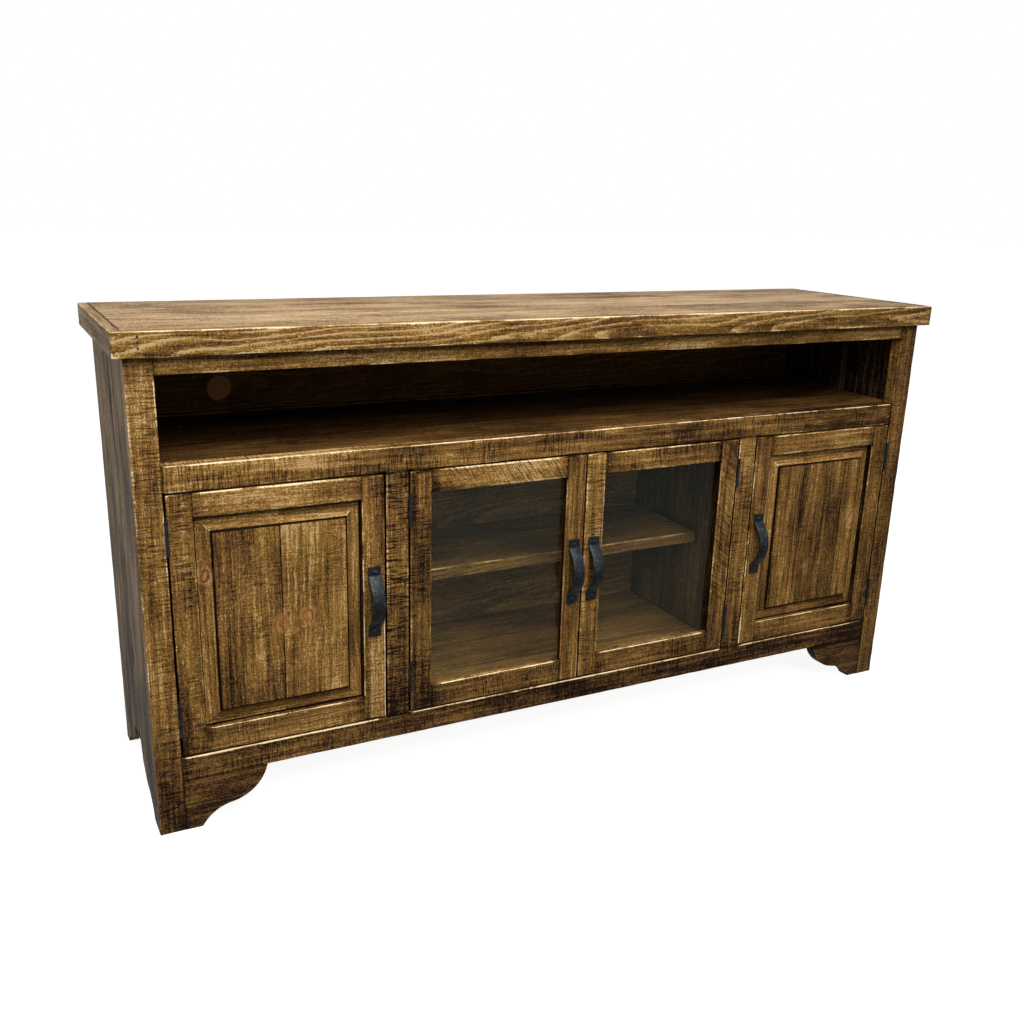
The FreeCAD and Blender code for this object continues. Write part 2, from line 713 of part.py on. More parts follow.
def make_pane(door):
    """Glass pane in its rebate and the bent clips that hold it from behind. Returns the clip screws."""
    name = door["name"]
    x, z = inner_opening(door, "pane_lap - pane_play")
    piece(box(f"{name}_pane", x, PANE_DEPTH, z), f"{name}_pane")
    near = "door_stile_width"
    far = f"{door['width']} - door_stile_width"
    clips = []
    screws = []
    for edge, (line, outward) in {"hinge": (near, -1), "pull": (far, 1)}.items():
        for level, (corner, inward) in {"low": (OPENING_LOW, 1), "high": (OPENING_HIGH, -1)}.items():
            label = f"{name}_{edge}_{level}"
            height = f"{corner} + {inward} * clip_from_corner"
            bends = []
            for bend, (reach, depth) in CLIP_BENDS.items():
                across = along(door, *span(outward, *reach, line))
                bends.append(box(f"{label}_{bend}", across, depth, centred(height, "clip_width / 2")))
            clips.append(fuse(f"{label}_clip", bends))
            x = point_along(door, f"{line} + {outward} * {CLIP_SCREW}")
            screws.append(round_screw(f"{label}_clip_screw", x, CLIP_BACK, height, -1))
    for edge, (line, outward) in {"bottom": (OPENING_LOW, -1), "top": (OPENING_HIGH, 1)}.items():
        for column, (corner, inward) in {"near": (near, 1), "far": (far, -1)}.items():
            label = f"{name}_{edge}_{column}"
            distance = f"{corner} + {inward} * clip_from_corner"
            across = along(door, *centred(distance, "clip_width / 2"))
            bends = []
            for bend, (reach, depth) in CLIP_BENDS.items():
                bends.append(box(f"{label}_{bend}", across, depth, span(outward, *reach, line)))
            clips.append(fuse(f"{label}_clip", bends))
            z = f"{line} + {outward} * {CLIP_SCREW}"
            screws.append(round_screw(f"{label}_clip_screw", point_along(door, distance), CLIP_BACK, z, -1))
    piece(group(f"{name}_clips", clips), f"{name}_clips")
    return screws


def make_pull(door):
    """Forged strap pull: two flat tabs and a bow between them. Returns its screws."""
    name = f"{door['name']}_pull"
    middle_x = point_along(door, f"{door['width']} - door_stile_width / 2")
    x = centred(middle_x, "pull_width / 2")
    bow_height = "(pull_length / 2 - pull_tab)"
    rise = "(pull_reach - strap_thickness)"
    radius = f"({bow_height} ^ 2 + {rise} ^ 2) / (2 * {rise})"
    hole_radius = "round_screw_radius + hole_clearance"
    centre = (x[0], f"{radius} - {rise}", DOOR_MIDDLE)
    outer = rod(f"{name}_outer", centre, X_AXIS, f"{radius} + strap_thickness", "pull_width")
    inner = rod(f"{name}_inner", centre, X_AXIS, radius, "pull_width")
    bow = doc.addObject("Part::Common", f"{name}_bow")
    bow.Base = cut(f"{name}_ring", outer, [inner])
    bow.Tool = box(f"{name}_front", x, ("-pull_reach", "0"), centred(DOOR_MIDDLE, "pull_length / 2"))
    solids = [bow]
    holes = []
    screws = []
    for end, side in (("lower", -1), ("upper", 1)):
        z = span(side, bow_height, "pull_length / 2", DOOR_MIDDLE)
        solids.append(box(f"{name}_{end}_tab", x, ("-strap_thickness", "0"), z))
        level = f"{DOOR_MIDDLE} + {side} * (pull_length - pull_tab) / 2"
        hole_end = (middle_x, "-strap_thickness", level)
        holes.append(rod(f"{name}_{end}_hole", hole_end, Y_AXIS, hole_radius, "strap_thickness"))
        screws.append(round_screw(f"{name}_{end}_screw", middle_x, "-strap_thickness", level, 1))
    piece(cut(name, fuse(f"{name}_strap", solids), holes), name)
    return screws


def make_door(door):
    make_door_frame(door)
    screws = []
    if door["glazed"]:
        screws += make_pane(door)
    else:
        make_raised_panel(door)
    screws += make_pull(door)
    screws += door_hinge_leaves(door)
    strike_x = point_along(door, f"{door['width']} - catch_inset")
    screws.append(strike_screw(f"{door['name']}_strike", strike_x, "door_thickness", STRIKE_LEVEL))
    piece(group(f"{door['name']}_screws", screws), f"{door['name']}_screws")


def make_catches(doors):
    """Magnetic catches hung under the cubby floor, one behind the pull edge of each door."""
    front = "door_thickness + strike_height + catch_gap"
    catches = []
    for door in doors:
        x = centred(point_along(door, f"{door['width']} - catch_inset"), "catch_width / 2")
        catches.append(box(f"{door['name']}_catch", x, (front, f"{front} + catch_depth"),
                           (f"{SILL_UNDER} - catch_height", SILL_UNDER)))
    piece(group("door_catches", catches), "door_catches")


def check_and_write():
    """Stop on any failed object or bad shape, then write one file per sub-part."""
    doc.recompute()
    for item in doc.Objects:
        if "Invalid" in item.State or "Error" in item.State:
            raise RuntimeError(f"{item.Label} failed: {item.State}")
    for item in pieces:
        if item.Shape.isNull() or not item.Shape.isValid() or not item.Shape.Solids:
            raise RuntimeError(f"{item.Label} has no sound shape")
    os.makedirs("parts", exist_ok=True)
    for item in pieces:
        item.Shape.exportStep(f"parts/{item.Label}.step")
        print(item.Label, len(item.Shape.Solids), round(item.Shape.Volume))


fill_sheet()
make_top()
make_face_frame()
make_bracket_feet()
make_side_panels()
make_floors_and_shelf()
make_back_panel()
make_case_nails()
all_doors = door_list()
make_frame_hinges(all_doors)
make_catches(all_doors)
for one_door in all_doors:
    make_door(one_door)
check_and_write()
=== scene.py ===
"""Looks of a rustic stained-pine TV stand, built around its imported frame."""
import json
import math
import random

import bmesh
import bpy
from mathutils import Matrix, Vector, noise


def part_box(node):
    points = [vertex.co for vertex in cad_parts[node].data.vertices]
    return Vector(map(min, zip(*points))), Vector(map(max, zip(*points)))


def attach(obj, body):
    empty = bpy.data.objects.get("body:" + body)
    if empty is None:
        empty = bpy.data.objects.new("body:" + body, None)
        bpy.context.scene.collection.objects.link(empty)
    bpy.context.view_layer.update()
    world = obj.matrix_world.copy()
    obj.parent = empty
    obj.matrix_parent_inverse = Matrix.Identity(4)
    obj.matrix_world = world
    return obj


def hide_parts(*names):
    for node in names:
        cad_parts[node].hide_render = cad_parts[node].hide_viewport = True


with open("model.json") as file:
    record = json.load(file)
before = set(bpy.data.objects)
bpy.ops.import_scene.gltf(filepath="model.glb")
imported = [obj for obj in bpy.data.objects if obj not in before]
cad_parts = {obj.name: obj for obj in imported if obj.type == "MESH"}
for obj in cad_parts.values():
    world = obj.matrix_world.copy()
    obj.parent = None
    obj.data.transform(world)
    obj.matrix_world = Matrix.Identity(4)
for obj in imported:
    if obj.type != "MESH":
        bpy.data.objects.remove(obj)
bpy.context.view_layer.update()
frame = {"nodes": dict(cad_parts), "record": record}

bl_info = {
    "name": "Rustic TV stand",
    "version": (1, 0, 0),
    "blender": (4, 5, 0),
    "location": "3D View > Sidebar > TV stand",
    "description": "Dresses the frame of a stained-pine TV stand with boards, ironwork, glass and a stage",
    "category": "Object",
}

MM = 0.001
NODES = frame["nodes"]
DOORS = ("left_door", "left_glass_door", "right_glass_door", "right_door")
SLOTS = {part["node"]: part["material_slot"] for part in frame["record"]["subparts"]}
ACROSS, BACK, UP = 0, 1, 2

# How each board came out of the workshop: paleness (one for each plank), saw marks, figure of the growth
# rings, and how much paler it is at its low end and at its high end, darker below zero. Boards that
# aren't named vary by chance.
BOARD_LOOKS = {
    "top_panel": ((0.56, 0.62, 0.53), 0.5, 0.3, 0, 0),
    "top_left_end": (0.52, 0.3, 0.4, 0, 0),
    "top_right_end": (0.42, 0.3, 0.4, 0, 0),
    "top_front_band": (0.54, 0.35, 1.4, 0.05, -0.1),
    "top_rail": (0.52, 0.4, 0.3, 0.18, 0.2),
    "mid_rail": (0.46, 0.9, 0.2, 0.25, -0.15),
    "bottom_rail": (0.3, 0.7, 0.2, 0, 0),
    "left_stile": (0.61, 0.9, 0.2, -0.28, 0.05),
    "right_stile": (0.38, 0.5, 0.2, 0, 0.1),
    "left_mid_stile": (0.47, 1.6, 0.1, -0.2, 0.08),
    "right_mid_stile": (0.63, 0.8, 0.1, -0.25, 0),
    "left_bracket_foot": (0.28, 0.1, 0.1, 0, 0),
    "right_bracket_foot": (0.22, 0.1, 0.1, 0, 0),
    "left_side_panel": ((0.38, 0.34, 0.4), 0.2, 0.5, -0.35, 0.1),
    "right_side_panel": ((0.32, 0.28, 0.31), 0.2, 0.4, 0, 0),
    "left_door_hinge_stile": (0.46, 1.0, 0.1, -0.12, 0),
    "left_door_pull_stile": (0.64, 0.6, 0.2, 0.1, -0.28),
    "left_door_top_rail": (0.66, 0.5, 0.2, 0, 0),
    "left_door_bottom_rail": (0.5, 0.6, 0.3, 0, 0),
    "left_door_panel": ((0.34, 0.57), 0.5, 0.5, 0, 0.14),
    "left_glass_door_hinge_stile": (0.4, 0.9, 0.1, -0.1, 0),
    "left_glass_door_pull_stile": (0.41, 0.3, 0.4, 0.14, -0.08),
    "left_glass_door_top_rail": (0.74, 1.3, 0.1, -0.35, 0),
    "left_glass_door_bottom_rail": (0.52, 0.9, 0.1, -0.22, 0),
    "right_glass_door_hinge_stile": (0.6, 0.8, 0.2, -0.2, -0.15),
    "right_glass_door_pull_stile": (0.52, 1.0, 0.1, 0, 0.2),
    "right_glass_door_top_rail": (0.66, 0.9, 0.1, -0.3, -0.15),
    "right_glass_door_bottom_rail": (0.48, 0.8, 0.2, 0, 0),
    "right_door_hinge_stile": (0.53, 0.5, 0.1, -0.24, 0),
    "right_door_pull_stile": (0.62, 0.5, 0.2, 0, -0.3),
    "right_door_top_rail": (0.7, 0.5, 0.1, 0, -0.18),
    "right_door_bottom_rail": (0.52, 0.4, 0.2, 0.2, 0),
    "right_door_panel": ((0.47, 0.43, 0.45), 0.35, 0.4, 0, 0.08),
    # the cubby floor's planks darken towards the back: painted shade inside the cubby
    "cubby_floor": ((0.28, 0.18, 0.15), 0.2, 0.4, 0, 0),
    "centre_shelf": (0.4, 0.2, 0.4, 0, 0),
    "bottom_panel": ((0.42, 0.38, 0.34), 0.2, 0.4, 0, 0),
    "back_panel": ((0.38, 0.42, 0.38, 0.44), 0.2, 0.5, 0, 0),
    "left_partition": (0.32, 0.2, 0.4, 0, 0),
    # the right partition is darker than the left: painted shade that holds down its lamp-lit face
    "right_partition": (0.24, 0.2, 0.4, 0, 0),
}

# Boards whose saw marks run aslant, and how far.
SLANTS = {"left_glass_door_top_rail": 0.7, "right_glass_door_hinge_stile": 0.7}

# Knots: place along the board, place across it, radius, in metres.
KNOTS = {
    "left_door_panel": ((0.376, -0.624, 0.009), (0.384, -0.582, 0.009), (0.485, -0.763, 0.007)),
    "top_panel": ((-0.42, -0.1, 0.014), (0.37, 0.12, 0.016)),
    "left_side_panel": ((0.56, -0.06, 0.013), (0.3, 0.12, 0.011)),
    "right_side_panel": ((0.62, 0.02, 0.013), (0.24, 0.15, 0.011)),
    "centre_shelf": ((-0.12, 0.08, 0.01),),
    "back_panel": ((0.3, 0.8, 0.012), (-0.2, 0.45, 0.014), (0.55, 0.35, 0.013)),
    "right_door_panel": ((0.42, 0.74, 0.01),),
}


# Values that a user would change


def linear(hex_colour):
    """Scene-linear red, green and blue of an sRGB hex colour."""
    channels = [int(hex_colour[place:place + 2], 16) / 255 for place in (1, 3, 5)]
    return tuple(c / 12.92 if c <= 0.04045 else ((c + 0.055) / 1.055) ** 2.4 for c in channels)


def colour(name, text, hex_colour):
    """Colour property, given as an sRGB hex value."""
    return bpy.props.FloatVectorProperty(
        name=name, description=text, default=linear(hex_colour), subtype="COLOR", size=3, min=0, max=1)


def length(name, text, millimetres):
    """Length property, given in millimetres."""
    return bpy.props.FloatProperty(
        name=name, description=text, default=millimetres * MM, min=0, unit="LENGTH", subtype="DISTANCE")


def share(name, text, amount):
    """Property between none and all."""
    return bpy.props.FloatProperty(
        name=name, description=text, default=amount, min=0, max=1, subtype="FACTOR")


class StandBoards(bpy.types.PropertyGroup):
    """How the boards are worked and how their grain is sized."""

    edge_round: length("Edge rounding", "Radius that sanding leaves on a board's edges", 2.2)
    chip_depth: length("Chips", "How deep dents and chips go along the edges", 2.4)
    waviness: length("Waviness", "How far hand planing leaves the faces uneven", 0.4)
    grid: length("Working grid", "Spacing of the lines that carry the unevenness", 26)
    ring_gap: length("Ring gap", "Distance between growth rings", 6.5)
    fibre_width: length("Fibre width", "Width of the fine fibres", 2.2)
    saw_gap: length("Saw mark gap", "Distance between the marks of the saw", 5)
    knot: length("Knot", "Radius of a usual knot", 11)
    relief: length("Relief", "Height of the grain and saw marks", 0.9)


def stain_values(glaze, dark, middle, light, worn, knot, contrast):
    """Properties of one stain, from the glaze in its pores to the bare wood on its edges."""
    return {
        # the glaze colour also paints the shade in corners, gaps, under rails and inside the case
        "glaze": colour("Glaze", "Glaze in pores, saw marks and corners", glaze),
        "dark": colour("Dark", "Wood where the glaze stayed", dark),
        "middle": colour("Middle", "Usual stained wood", middle),
        "light": colour("Light", "Wood where the glaze was wiped off", light),
        # the worn colour also paints the highlight on edges that look up
        "worn": colour("Worn", "Bare wood on rubbed edges and high spots", worn),
        "knot": colour("Knot", "Red-brown heart of a knot", knot),
        "contrast": share("Contrast", "How strongly the grain shows", contrast),
        "roughness": share("Roughness", "Roughness of the lacquer", 0.5),
    }


class FrontStain(bpy.types.PropertyGroup):
    """Stain of the face frame and doors: golden wood under a dark wiped glaze."""

    __annotations__ = stain_values("#160C05", "#442F1C", "#6F5129", "#A37A3C", "#F0DAAE", "#B27E48", 0.78)


class TopStain(bpy.types.PropertyGroup):
    """Stain of the top: the same wood, sanded smoother and paler."""

    __annotations__ = stain_values("#241709", "#5C462C", "#8F7350", "#B3956B", "#D6BA8C", "#8A6240", 0.9)


class SideStain(bpy.types.PropertyGroup):
    """Stain of the case sides: greyer, with less glaze."""

    __annotations__ = stain_values("#1A120A", "#483823", "#785F3C", "#9E7E50", "#B89E78", "#6B4A34", 1.0)


class InnerStain(bpy.types.PropertyGroup):
    """Stain inside the case: one coat of golden brown, with little glaze."""

    __annotations__ = stain_values("#140B04", "#432D15", "#74542A", "#A57E46", "#D9B77C", "#7A4A28", 0.4)


class StandFittings(bpy.types.PropertyGroup):
    """Ironwork and glass."""

    iron: colour("Iron", "Black oxide and wax on forged iron", "#12161A")
    iron_rubbed: colour("Rubbed iron", "Bare iron on rubbed high spots", "#333C42")
    hammer_mark: length("Hammer mark", "Width of one hammer mark", 5)
    glass: colour("Glass", "Faint green of float glass", "#F0F4F1")
    catch_plastic: colour("Catch", "Brown plastic of the catches", "#2A1C12")


class StandStage(bpy.types.PropertyGroup):
    """Camera, lamps and floor."""

    camera_place: bpy.props.FloatVectorProperty(
        name="Camera", description="Where the camera stands", default=(-1.08682, -1.96462, 1.13183),
        size=3, subtype="XYZ", unit="LENGTH")
    focal_length: bpy.props.FloatProperty(
        name="Focal length", description="Lens on a 36 mm sensor, in millimetres", default=37.05, min=1)
    key_power: bpy.props.FloatProperty(
        name="Key lamp", description="Power of the large soft lamp", default=248, min=0, unit="POWER")
    fill: share("Fill", "Strength of the even light from all round", 0.08)
    floor: colour("Floor", "Plain pale floor", "#B4B4B4")


class StandSettings(bpy.types.PropertyGroup):
    """All values of the stand."""

    boards: bpy.props.PointerProperty(type=StandBoards)
    front: bpy.props.PointerProperty(type=FrontStain)
    top: bpy.props.PointerProperty(type=TopStain)
    side: bpy.props.PointerProperty(type=SideStain)
    inner: bpy.props.PointerProperty(type=InnerStain)
    fittings: bpy.props.PointerProperty(type=StandFittings)
    stage: bpy.props.PointerProperty(type=StandStage)


def settings():
    """The stand's values in this scene."""
    return bpy.context.scene.tv_stand


# Materials


def add(tree, kind, inputs=None, **values):
    """Add one node, set its values, then set or link its inputs.

    A node given as an input stands for its first output.
    """
    item = tree.nodes.new(kind)
    for name, value in values.items():
        setattr(item, name, value)
    for name, value in (inputs or {}).items():
        if isinstance(value, bpy.types.Node):
            value = value.outputs[0]
        if isinstance(value, bpy.types.NodeSocket):
            tree.links.new(value, item.inputs[name])
        else:
            item.inputs[name].default_value = value
    return item


def blank_material(name):
    """New material and its empty tree."""
    material = bpy.data.materials.new(name)
    material.use_nodes = True
    material.node_tree.nodes.clear()
    return material, material.node_tree


def rgba(value):
    """Colour with full opacity, as sockets take it."""
    return (*value, 1)


def stained_pine(name, stain):
    """Rough-sawn pine, stained brown, glazed dark and wiped, then lacquered satin.

    The eye sees gold high spots between dark pores, fine dark saw marks across the grain, faint growth
    rings, glaze wiped unevenly, red-brown knots, pale wood where edges are rubbed, with a painted
    highlight on edges that look up, and dark glaze with painted shade in corners, gaps, under rails and
    inside the case.
    """
    if name in bpy.data.materials:
        return bpy.data.materials[name]
    sizes = settings().boards
    material, tree = blank_material(name)
    marks = {
        mark: add(tree, "ShaderNodeAttribute", attribute_name=mark)
        for mark in ("grain", "timber", "eye", "level", "sawn", "figure", "edge", "grime")
    }
    timber = marks["timber"].outputs["Vector"]
    level, sawn, figure, edge, grime = (
        marks[mark].outputs["Fac"] for mark in ("level", "sawn", "figure", "edge", "grime"))

    def pattern(along, across, detail=2.0, low=None, high=None):
        """Noise whose blotches have these real lengths along and across the grain, sharpened where asked."""
        scaled = add(tree, "ShaderNodeMapping", {
            "Vector": timber, "Scale": (1 / along, 1 / across, 1 / across)})
        blotches = add(tree, "ShaderNodeTexNoise", {"Vector": scaled, "Scale": 1.0, "Detail": detail})
        if low is None:
            return blotches
        return add(tree, "ShaderNodeMapRange", {
            "Value": blotches, "From Min": low, "From Max": high}, interpolation_type="SMOOTHSTEP")

    # growth rings round a wandering pith, which bow round a knot of uneven outline
    uneven = pattern(22 * MM, 14 * MM)
    ragged = 2.8  # how far a knot's outline wanders, in its radii
    eye = add(tree, "ShaderNodeVectorMath", {
        0: uneven.outputs["Color"], 1: (ragged, ragged, 0.0), 2: marks["eye"].outputs["Vector"]},
        operation="MULTIPLY_ADD")
    eye = add(tree, "ShaderNodeVectorMath", {0: eye, 1: (ragged / 2, ragged / 2, 0.0)}, operation="SUBTRACT")
    knot_distance = add(tree, "ShaderNodeVectorMath", {0: eye}, operation="LENGTH").outputs["Value"]
    pull = add(tree, "ShaderNodeMapRange", {
        "Value": knot_distance, "From Min": 4.5, "From Max": 0.5, "To Max": -0.45 * sizes.knot},
        interpolation_type="SMOOTHSTEP")
    bow = add(tree, "ShaderNodeVectorMath", {0: eye, 1: pull, 2: marks["grain"].outputs["Vector"]},
              operation="MULTIPLY_ADD")
    drift = pattern(420 * MM, 80 * MM)
    sway = 36 * MM
    wander = add(tree, "ShaderNodeVectorMath", {
        0: drift.outputs["Color"], 1: (0.0, sway, sway), 2: bow}, operation="MULTIPLY_ADD")
    tilted = add(tree, "ShaderNodeMapping", {"Vector": wander, "Rotation": (0.0, 0.03, 0.024)})
    rings = add(tree, "ShaderNodeTexWave", {
        "Vector": tilted, "Scale": math.pi / 10 / sizes.ring_gap, "Distortion": 1.2, "Detail": 2.0,
        "Detail Scale": 2.0}, wave_type="RINGS", rings_direction="X", wave_profile="SAW")
    whorl = add(tree, "ShaderNodeMath", {0: knot_distance, 1: 5.0}, operation="MULTIPLY")
    whorl = add(tree, "ShaderNodeMath", {0: whorl}, operation="SINE")
    near_knot = add(tree, "ShaderNodeMapRange", {
        "Value": knot_distance, "From Min": 3.2, "From Max": 0.8}, interpolation_type="SMOOTHSTEP")
    whorl = add(tree, "ShaderNodeMath", {0: whorl, 1: near_knot}, operation="MULTIPLY")
    late_wood = add(tree, "ShaderNodeMapRange", {
        "Value": rings.outputs["Fac"], "From Min": 0.45, "From Max": 0.95}, interpolation_type="SMOOTHSTEP")

    # saw marks across the grain, in areas; drawn a little coarser than real ones, which are too fine to see
    saw = pattern(sizes.saw_gap * 0.5, 30 * MM, 1.0, 0.44, 0.66)
    saw_area = pattern(90 * MM, 40 * MM, 2.0, 0.25, 0.62)
    saw_marks = add(tree, "ShaderNodeMath", {0: saw, 1: saw_area}, operation="MULTIPLY")
    saw_marks = add(tree, "ShaderNodeMath", {0: saw_marks, 1: sawn}, operation="MULTIPLY")
    figured = add(tree, "ShaderNodeMath", {0: late_wood, 1: figure}, operation="MULTIPLY")
    # fibres, grit, pores and gold flecks, also coarser than real ones so that they show
    fibre = pattern(60 * MM, sizes.fibre_width)
    grit = pattern(3 * MM, 2.6 * MM, 1.0)
    pits = pattern(13 * MM, 2.4 * MM, 0.0, 0.74, 0.82)
    gold = pattern(15 * MM, 3 * MM, 1.0, 0.56, 0.74)
    rub = pattern(50 * MM, 28 * MM, 2.0, 0.36, 0.6)
    # wear on edges, with a painted highlight where they look up; bare lit edges go fully pale
    rubbed = add(tree, "ShaderNodeMath", {0: edge, 1: rub}, operation="MULTIPLY")
    bared = add(tree, "ShaderNodeMath", {0: edge, 1: 1.0}, operation="SUBTRACT")
    rubbed = add(tree, "ShaderNodeMath", {0: rubbed, 1: bared}, operation="MAXIMUM")

    # how pale the wood is at each point, summed from everything that darkens or lightens it
    grown = stain.contrast
    centred_layers = (
        (pattern(210 * MM, 70 * MM, 4.0), 1.4 * grown),
        (pattern(280 * MM, 8 * MM), 1.0 * grown),
        (fibre, 0.8 * grown),
        (grit, 1.1 * grown),
    )
    pale = add(tree, "ShaderNodeMath", {0: level, 1: sum(-amount / 2 for layer, amount in centred_layers)})
    grown_layers = centred_layers + (
        (saw_marks, -0.36), (figured, 0.3), (pits, -0.2), (gold, 0.2), (whorl, 0.16))
    for layer, amount in grown_layers:
        pale = add(tree, "ShaderNodeMath", {0: layer, 1: amount, 2: pale}, operation="MULTIPLY_ADD")
    pale = add(tree, "ShaderNodeMath", {0: pale, 1: 0.86}, operation="MINIMUM")
    # rubbed edges with their painted highlight lighten the wood; glaze with painted shade in corners, gaps,
    # under rails and inside the case darkens it
    for layer, amount in ((rubbed, 0.58), (grime, -0.7)):
        pale = add(tree, "ShaderNodeMath", {0: layer, 1: amount, 2: pale}, operation="MULTIPLY_ADD")
    stained = add(tree, "ShaderNodeValToRGB", {"Fac": pale})
    stops = stained.color_ramp.elements
    stops[0].position, stops[0].color = 0.04, rgba(stain.glaze)
    stops[1].position, stops[1].color = 1.0, rgba(stain.worn)
    for place, stop in ((0.26, stain.dark), (0.5, stain.middle), (0.8, stain.light)):
        stops.new(place).color = rgba(stop)

    # red-brown knots with a dark rim
    heart = add(tree, "ShaderNodeMapRange", {
        "Value": knot_distance, "From Min": 2.8, "From Max": 0.4, "To Max": 0.55},
        interpolation_type="SMOOTHSTEP")
    reddened = add(tree, "ShaderNodeMix", {0: heart, 6: stained, 7: rgba(stain.knot)}, data_type="RGBA")
    rim_out = add(tree, "ShaderNodeMapRange", {"Value": knot_distance, "From Min": 1.25, "From Max": 1.0})
    rim_in = add(tree, "ShaderNodeMapRange", {"Value": knot_distance, "From Min": 0.7, "From Max": 1.0})
    rim = add(tree, "ShaderNodeMath", {0: rim_out, 1: rim_in}, operation="MINIMUM")
    rim = add(tree, "ShaderNodeMath", {0: rim, 1: rub}, operation="MULTIPLY")
    finished = add(tree, "ShaderNodeMix", {
        0: rim, 6: reddened.outputs[2], 7: rgba(stain.dark)}, data_type="RGBA")
    drift_of_hue = add(tree, "ShaderNodeMapRange", {
        "Value": pattern(110 * MM, 24 * MM), "From Min": 0.3, "From Max": 0.7,
        "To Min": 0.492, "To Max": 0.504})
    tinted = add(tree, "ShaderNodeHueSaturation", {"Hue": drift_of_hue, "Color": finished.outputs[2]})

    height = add(tree, "ShaderNodeMath", {0: saw_marks, 1: -0.8}, operation="MULTIPLY")
    for layer, amount in ((fibre, 0.8), (grit, 0.7), (figured, 0.4), (pits, -0.4)):
        height = add(tree, "ShaderNodeMath", {0: layer, 1: amount, 2: height}, operation="MULTIPLY_ADD")
    relief = add(tree, "ShaderNodeBump", {"Height": height, "Strength": 0.9, "Distance": sizes.relief})
    gloss = add(tree, "ShaderNodeMapRange", {
        "Value": pale, "To Min": stain.roughness + 0.15, "To Max": stain.roughness - 0.06})
    shader = add(tree, "ShaderNodeBsdfPrincipled", {
        "Base Color": tinted, "Roughness": gloss, "IOR": 1.5, "Specular IOR Level": 0.04,
        "Normal": relief})
    add(tree, "ShaderNodeOutputMaterial", {"Surface": shader})
    return material


def forged_iron():
    """Hammered iron under black oxide and wax: dark blue-grey sheen, paler on rubbed high spots."""
    name = "forged_black_iron"
    if name in bpy.data.materials:
        return bpy.data.materials[name]
    values = settings().fittings
    material, tree = blank_material(name)
    place = add(tree, "ShaderNodeTexCoord").outputs["Object"]
    hammer = add(tree, "ShaderNodeTexVoronoi", {
        "Vector": place, "Scale": 1 / values.hammer_mark}, feature="SMOOTH_F1")
    # forge scale and rubbed spots, coarser than real ones so that they show
    scale = add(tree, "ShaderNodeTexNoise", {"Vector": place, "Scale": 1 / (3 * MM), "Detail": 3.0})
    rub = add(tree, "ShaderNodeTexNoise", {"Vector": place, "Scale": 1 / (7 * MM), "Detail": 4.0})
    rubbed = add(tree, "ShaderNodeMapRange", {"Value": rub, "From Min": 0.5, "From Max": 0.72})
    skin = add(tree, "ShaderNodeMix", {
        0: rubbed, 6: rgba(values.iron), 7: rgba(values.iron_rubbed)}, data_type="RGBA")
    gloss = add(tree, "ShaderNodeMapRange", {
        "Value": scale, "From Min": 0.3, "From Max": 0.7, "To Min": 0.36, "To Max": 0.66})
    dents = add(tree, "ShaderNodeBump", {"Height": hammer, "Strength": 0.5, "Distance": 0.6 * MM})
    pits = add(tree, "ShaderNodeBump", {
        "Height": scale, "Strength": 0.45, "Distance": 0.5 * MM, "Normal": dents})
    shader = add(tree, "ShaderNodeBsdfPrincipled", {
        "Base Color": skin.outputs[2], "Metallic": 0.55, "Roughness": gloss, "Normal": pits})
    add(tree, "ShaderNodeOutputMaterial", {"Surface": shader})
    return material


def float_glass():
    """Clear float glass: sharp reflections, held back as in a dim room, and a faint green body."""
    material, tree = blank_material("float_glass")
    body = rgba(settings().fittings.glass)
    clear = add(tree, "ShaderNodeBsdfPrincipled", {
        "Base Color": body, "Roughness": 0.0, "IOR": 1.5, "Specular IOR Level": 0.12,
        "Transmission Weight": 1.0})
    passing = add(tree, "ShaderNodeBsdfTransparent", {"Color": body})
    path = add(tree, "ShaderNodeLightPath")
    mixed = add(tree, "ShaderNodeMixShader", {0: path.outputs["Is Shadow Ray"], 1: clear, 2: passing})
    add(tree, "ShaderNodeOutputMaterial", {"Surface": mixed})
    return material


def moulded_plastic():
    """Brown moulded plastic: fine mould grain and a dull sheen."""
    material, tree = blank_material("moulded_brown_plastic")
    place = add(tree, "ShaderNodeTexCoord").outputs["Object"]
    # mould grain, coarser than real so that it shows
    grit = add(tree, "ShaderNodeTexNoise", {"Vector": place, "Scale": 1 / (0.8 * MM), "Detail": 2.0})
    gloss = add(tree, "ShaderNodeMapRange", {"Value": grit, "To Min": 0.42, "To Max": 0.6})
    relief = add(tree, "ShaderNodeBump", {"Height": grit, "Strength": 0.3, "Distance": 0.1 * MM})
    shader = add(tree, "ShaderNodeBsdfPrincipled", {
        "Base Color": rgba(settings().fittings.catch_plastic), "Roughness": gloss, "Normal": relief})
    add(tree, "ShaderNodeOutputMaterial", {"Surface": shader})
    return material


# Boards

SHARP_EDGE = math.radians(30)  # an edge that bends more than this is eased
INNER_CORNER = -0.3  # signed angle of an edge, in radians, below which it is an inner corner
FACING = 0.8  # share of a normal along an axis above which a face looks that way
LEANING = 0.3  # the same for an eased edge that leans that way
WAVES, CHIPS = 9, 31  # unevenness of the faces and dents of the edges, per metre
JOINT_DEPTH = 0.9 * MM
KNOT_STRETCH = 1.5  # how much longer a knot is along the grain

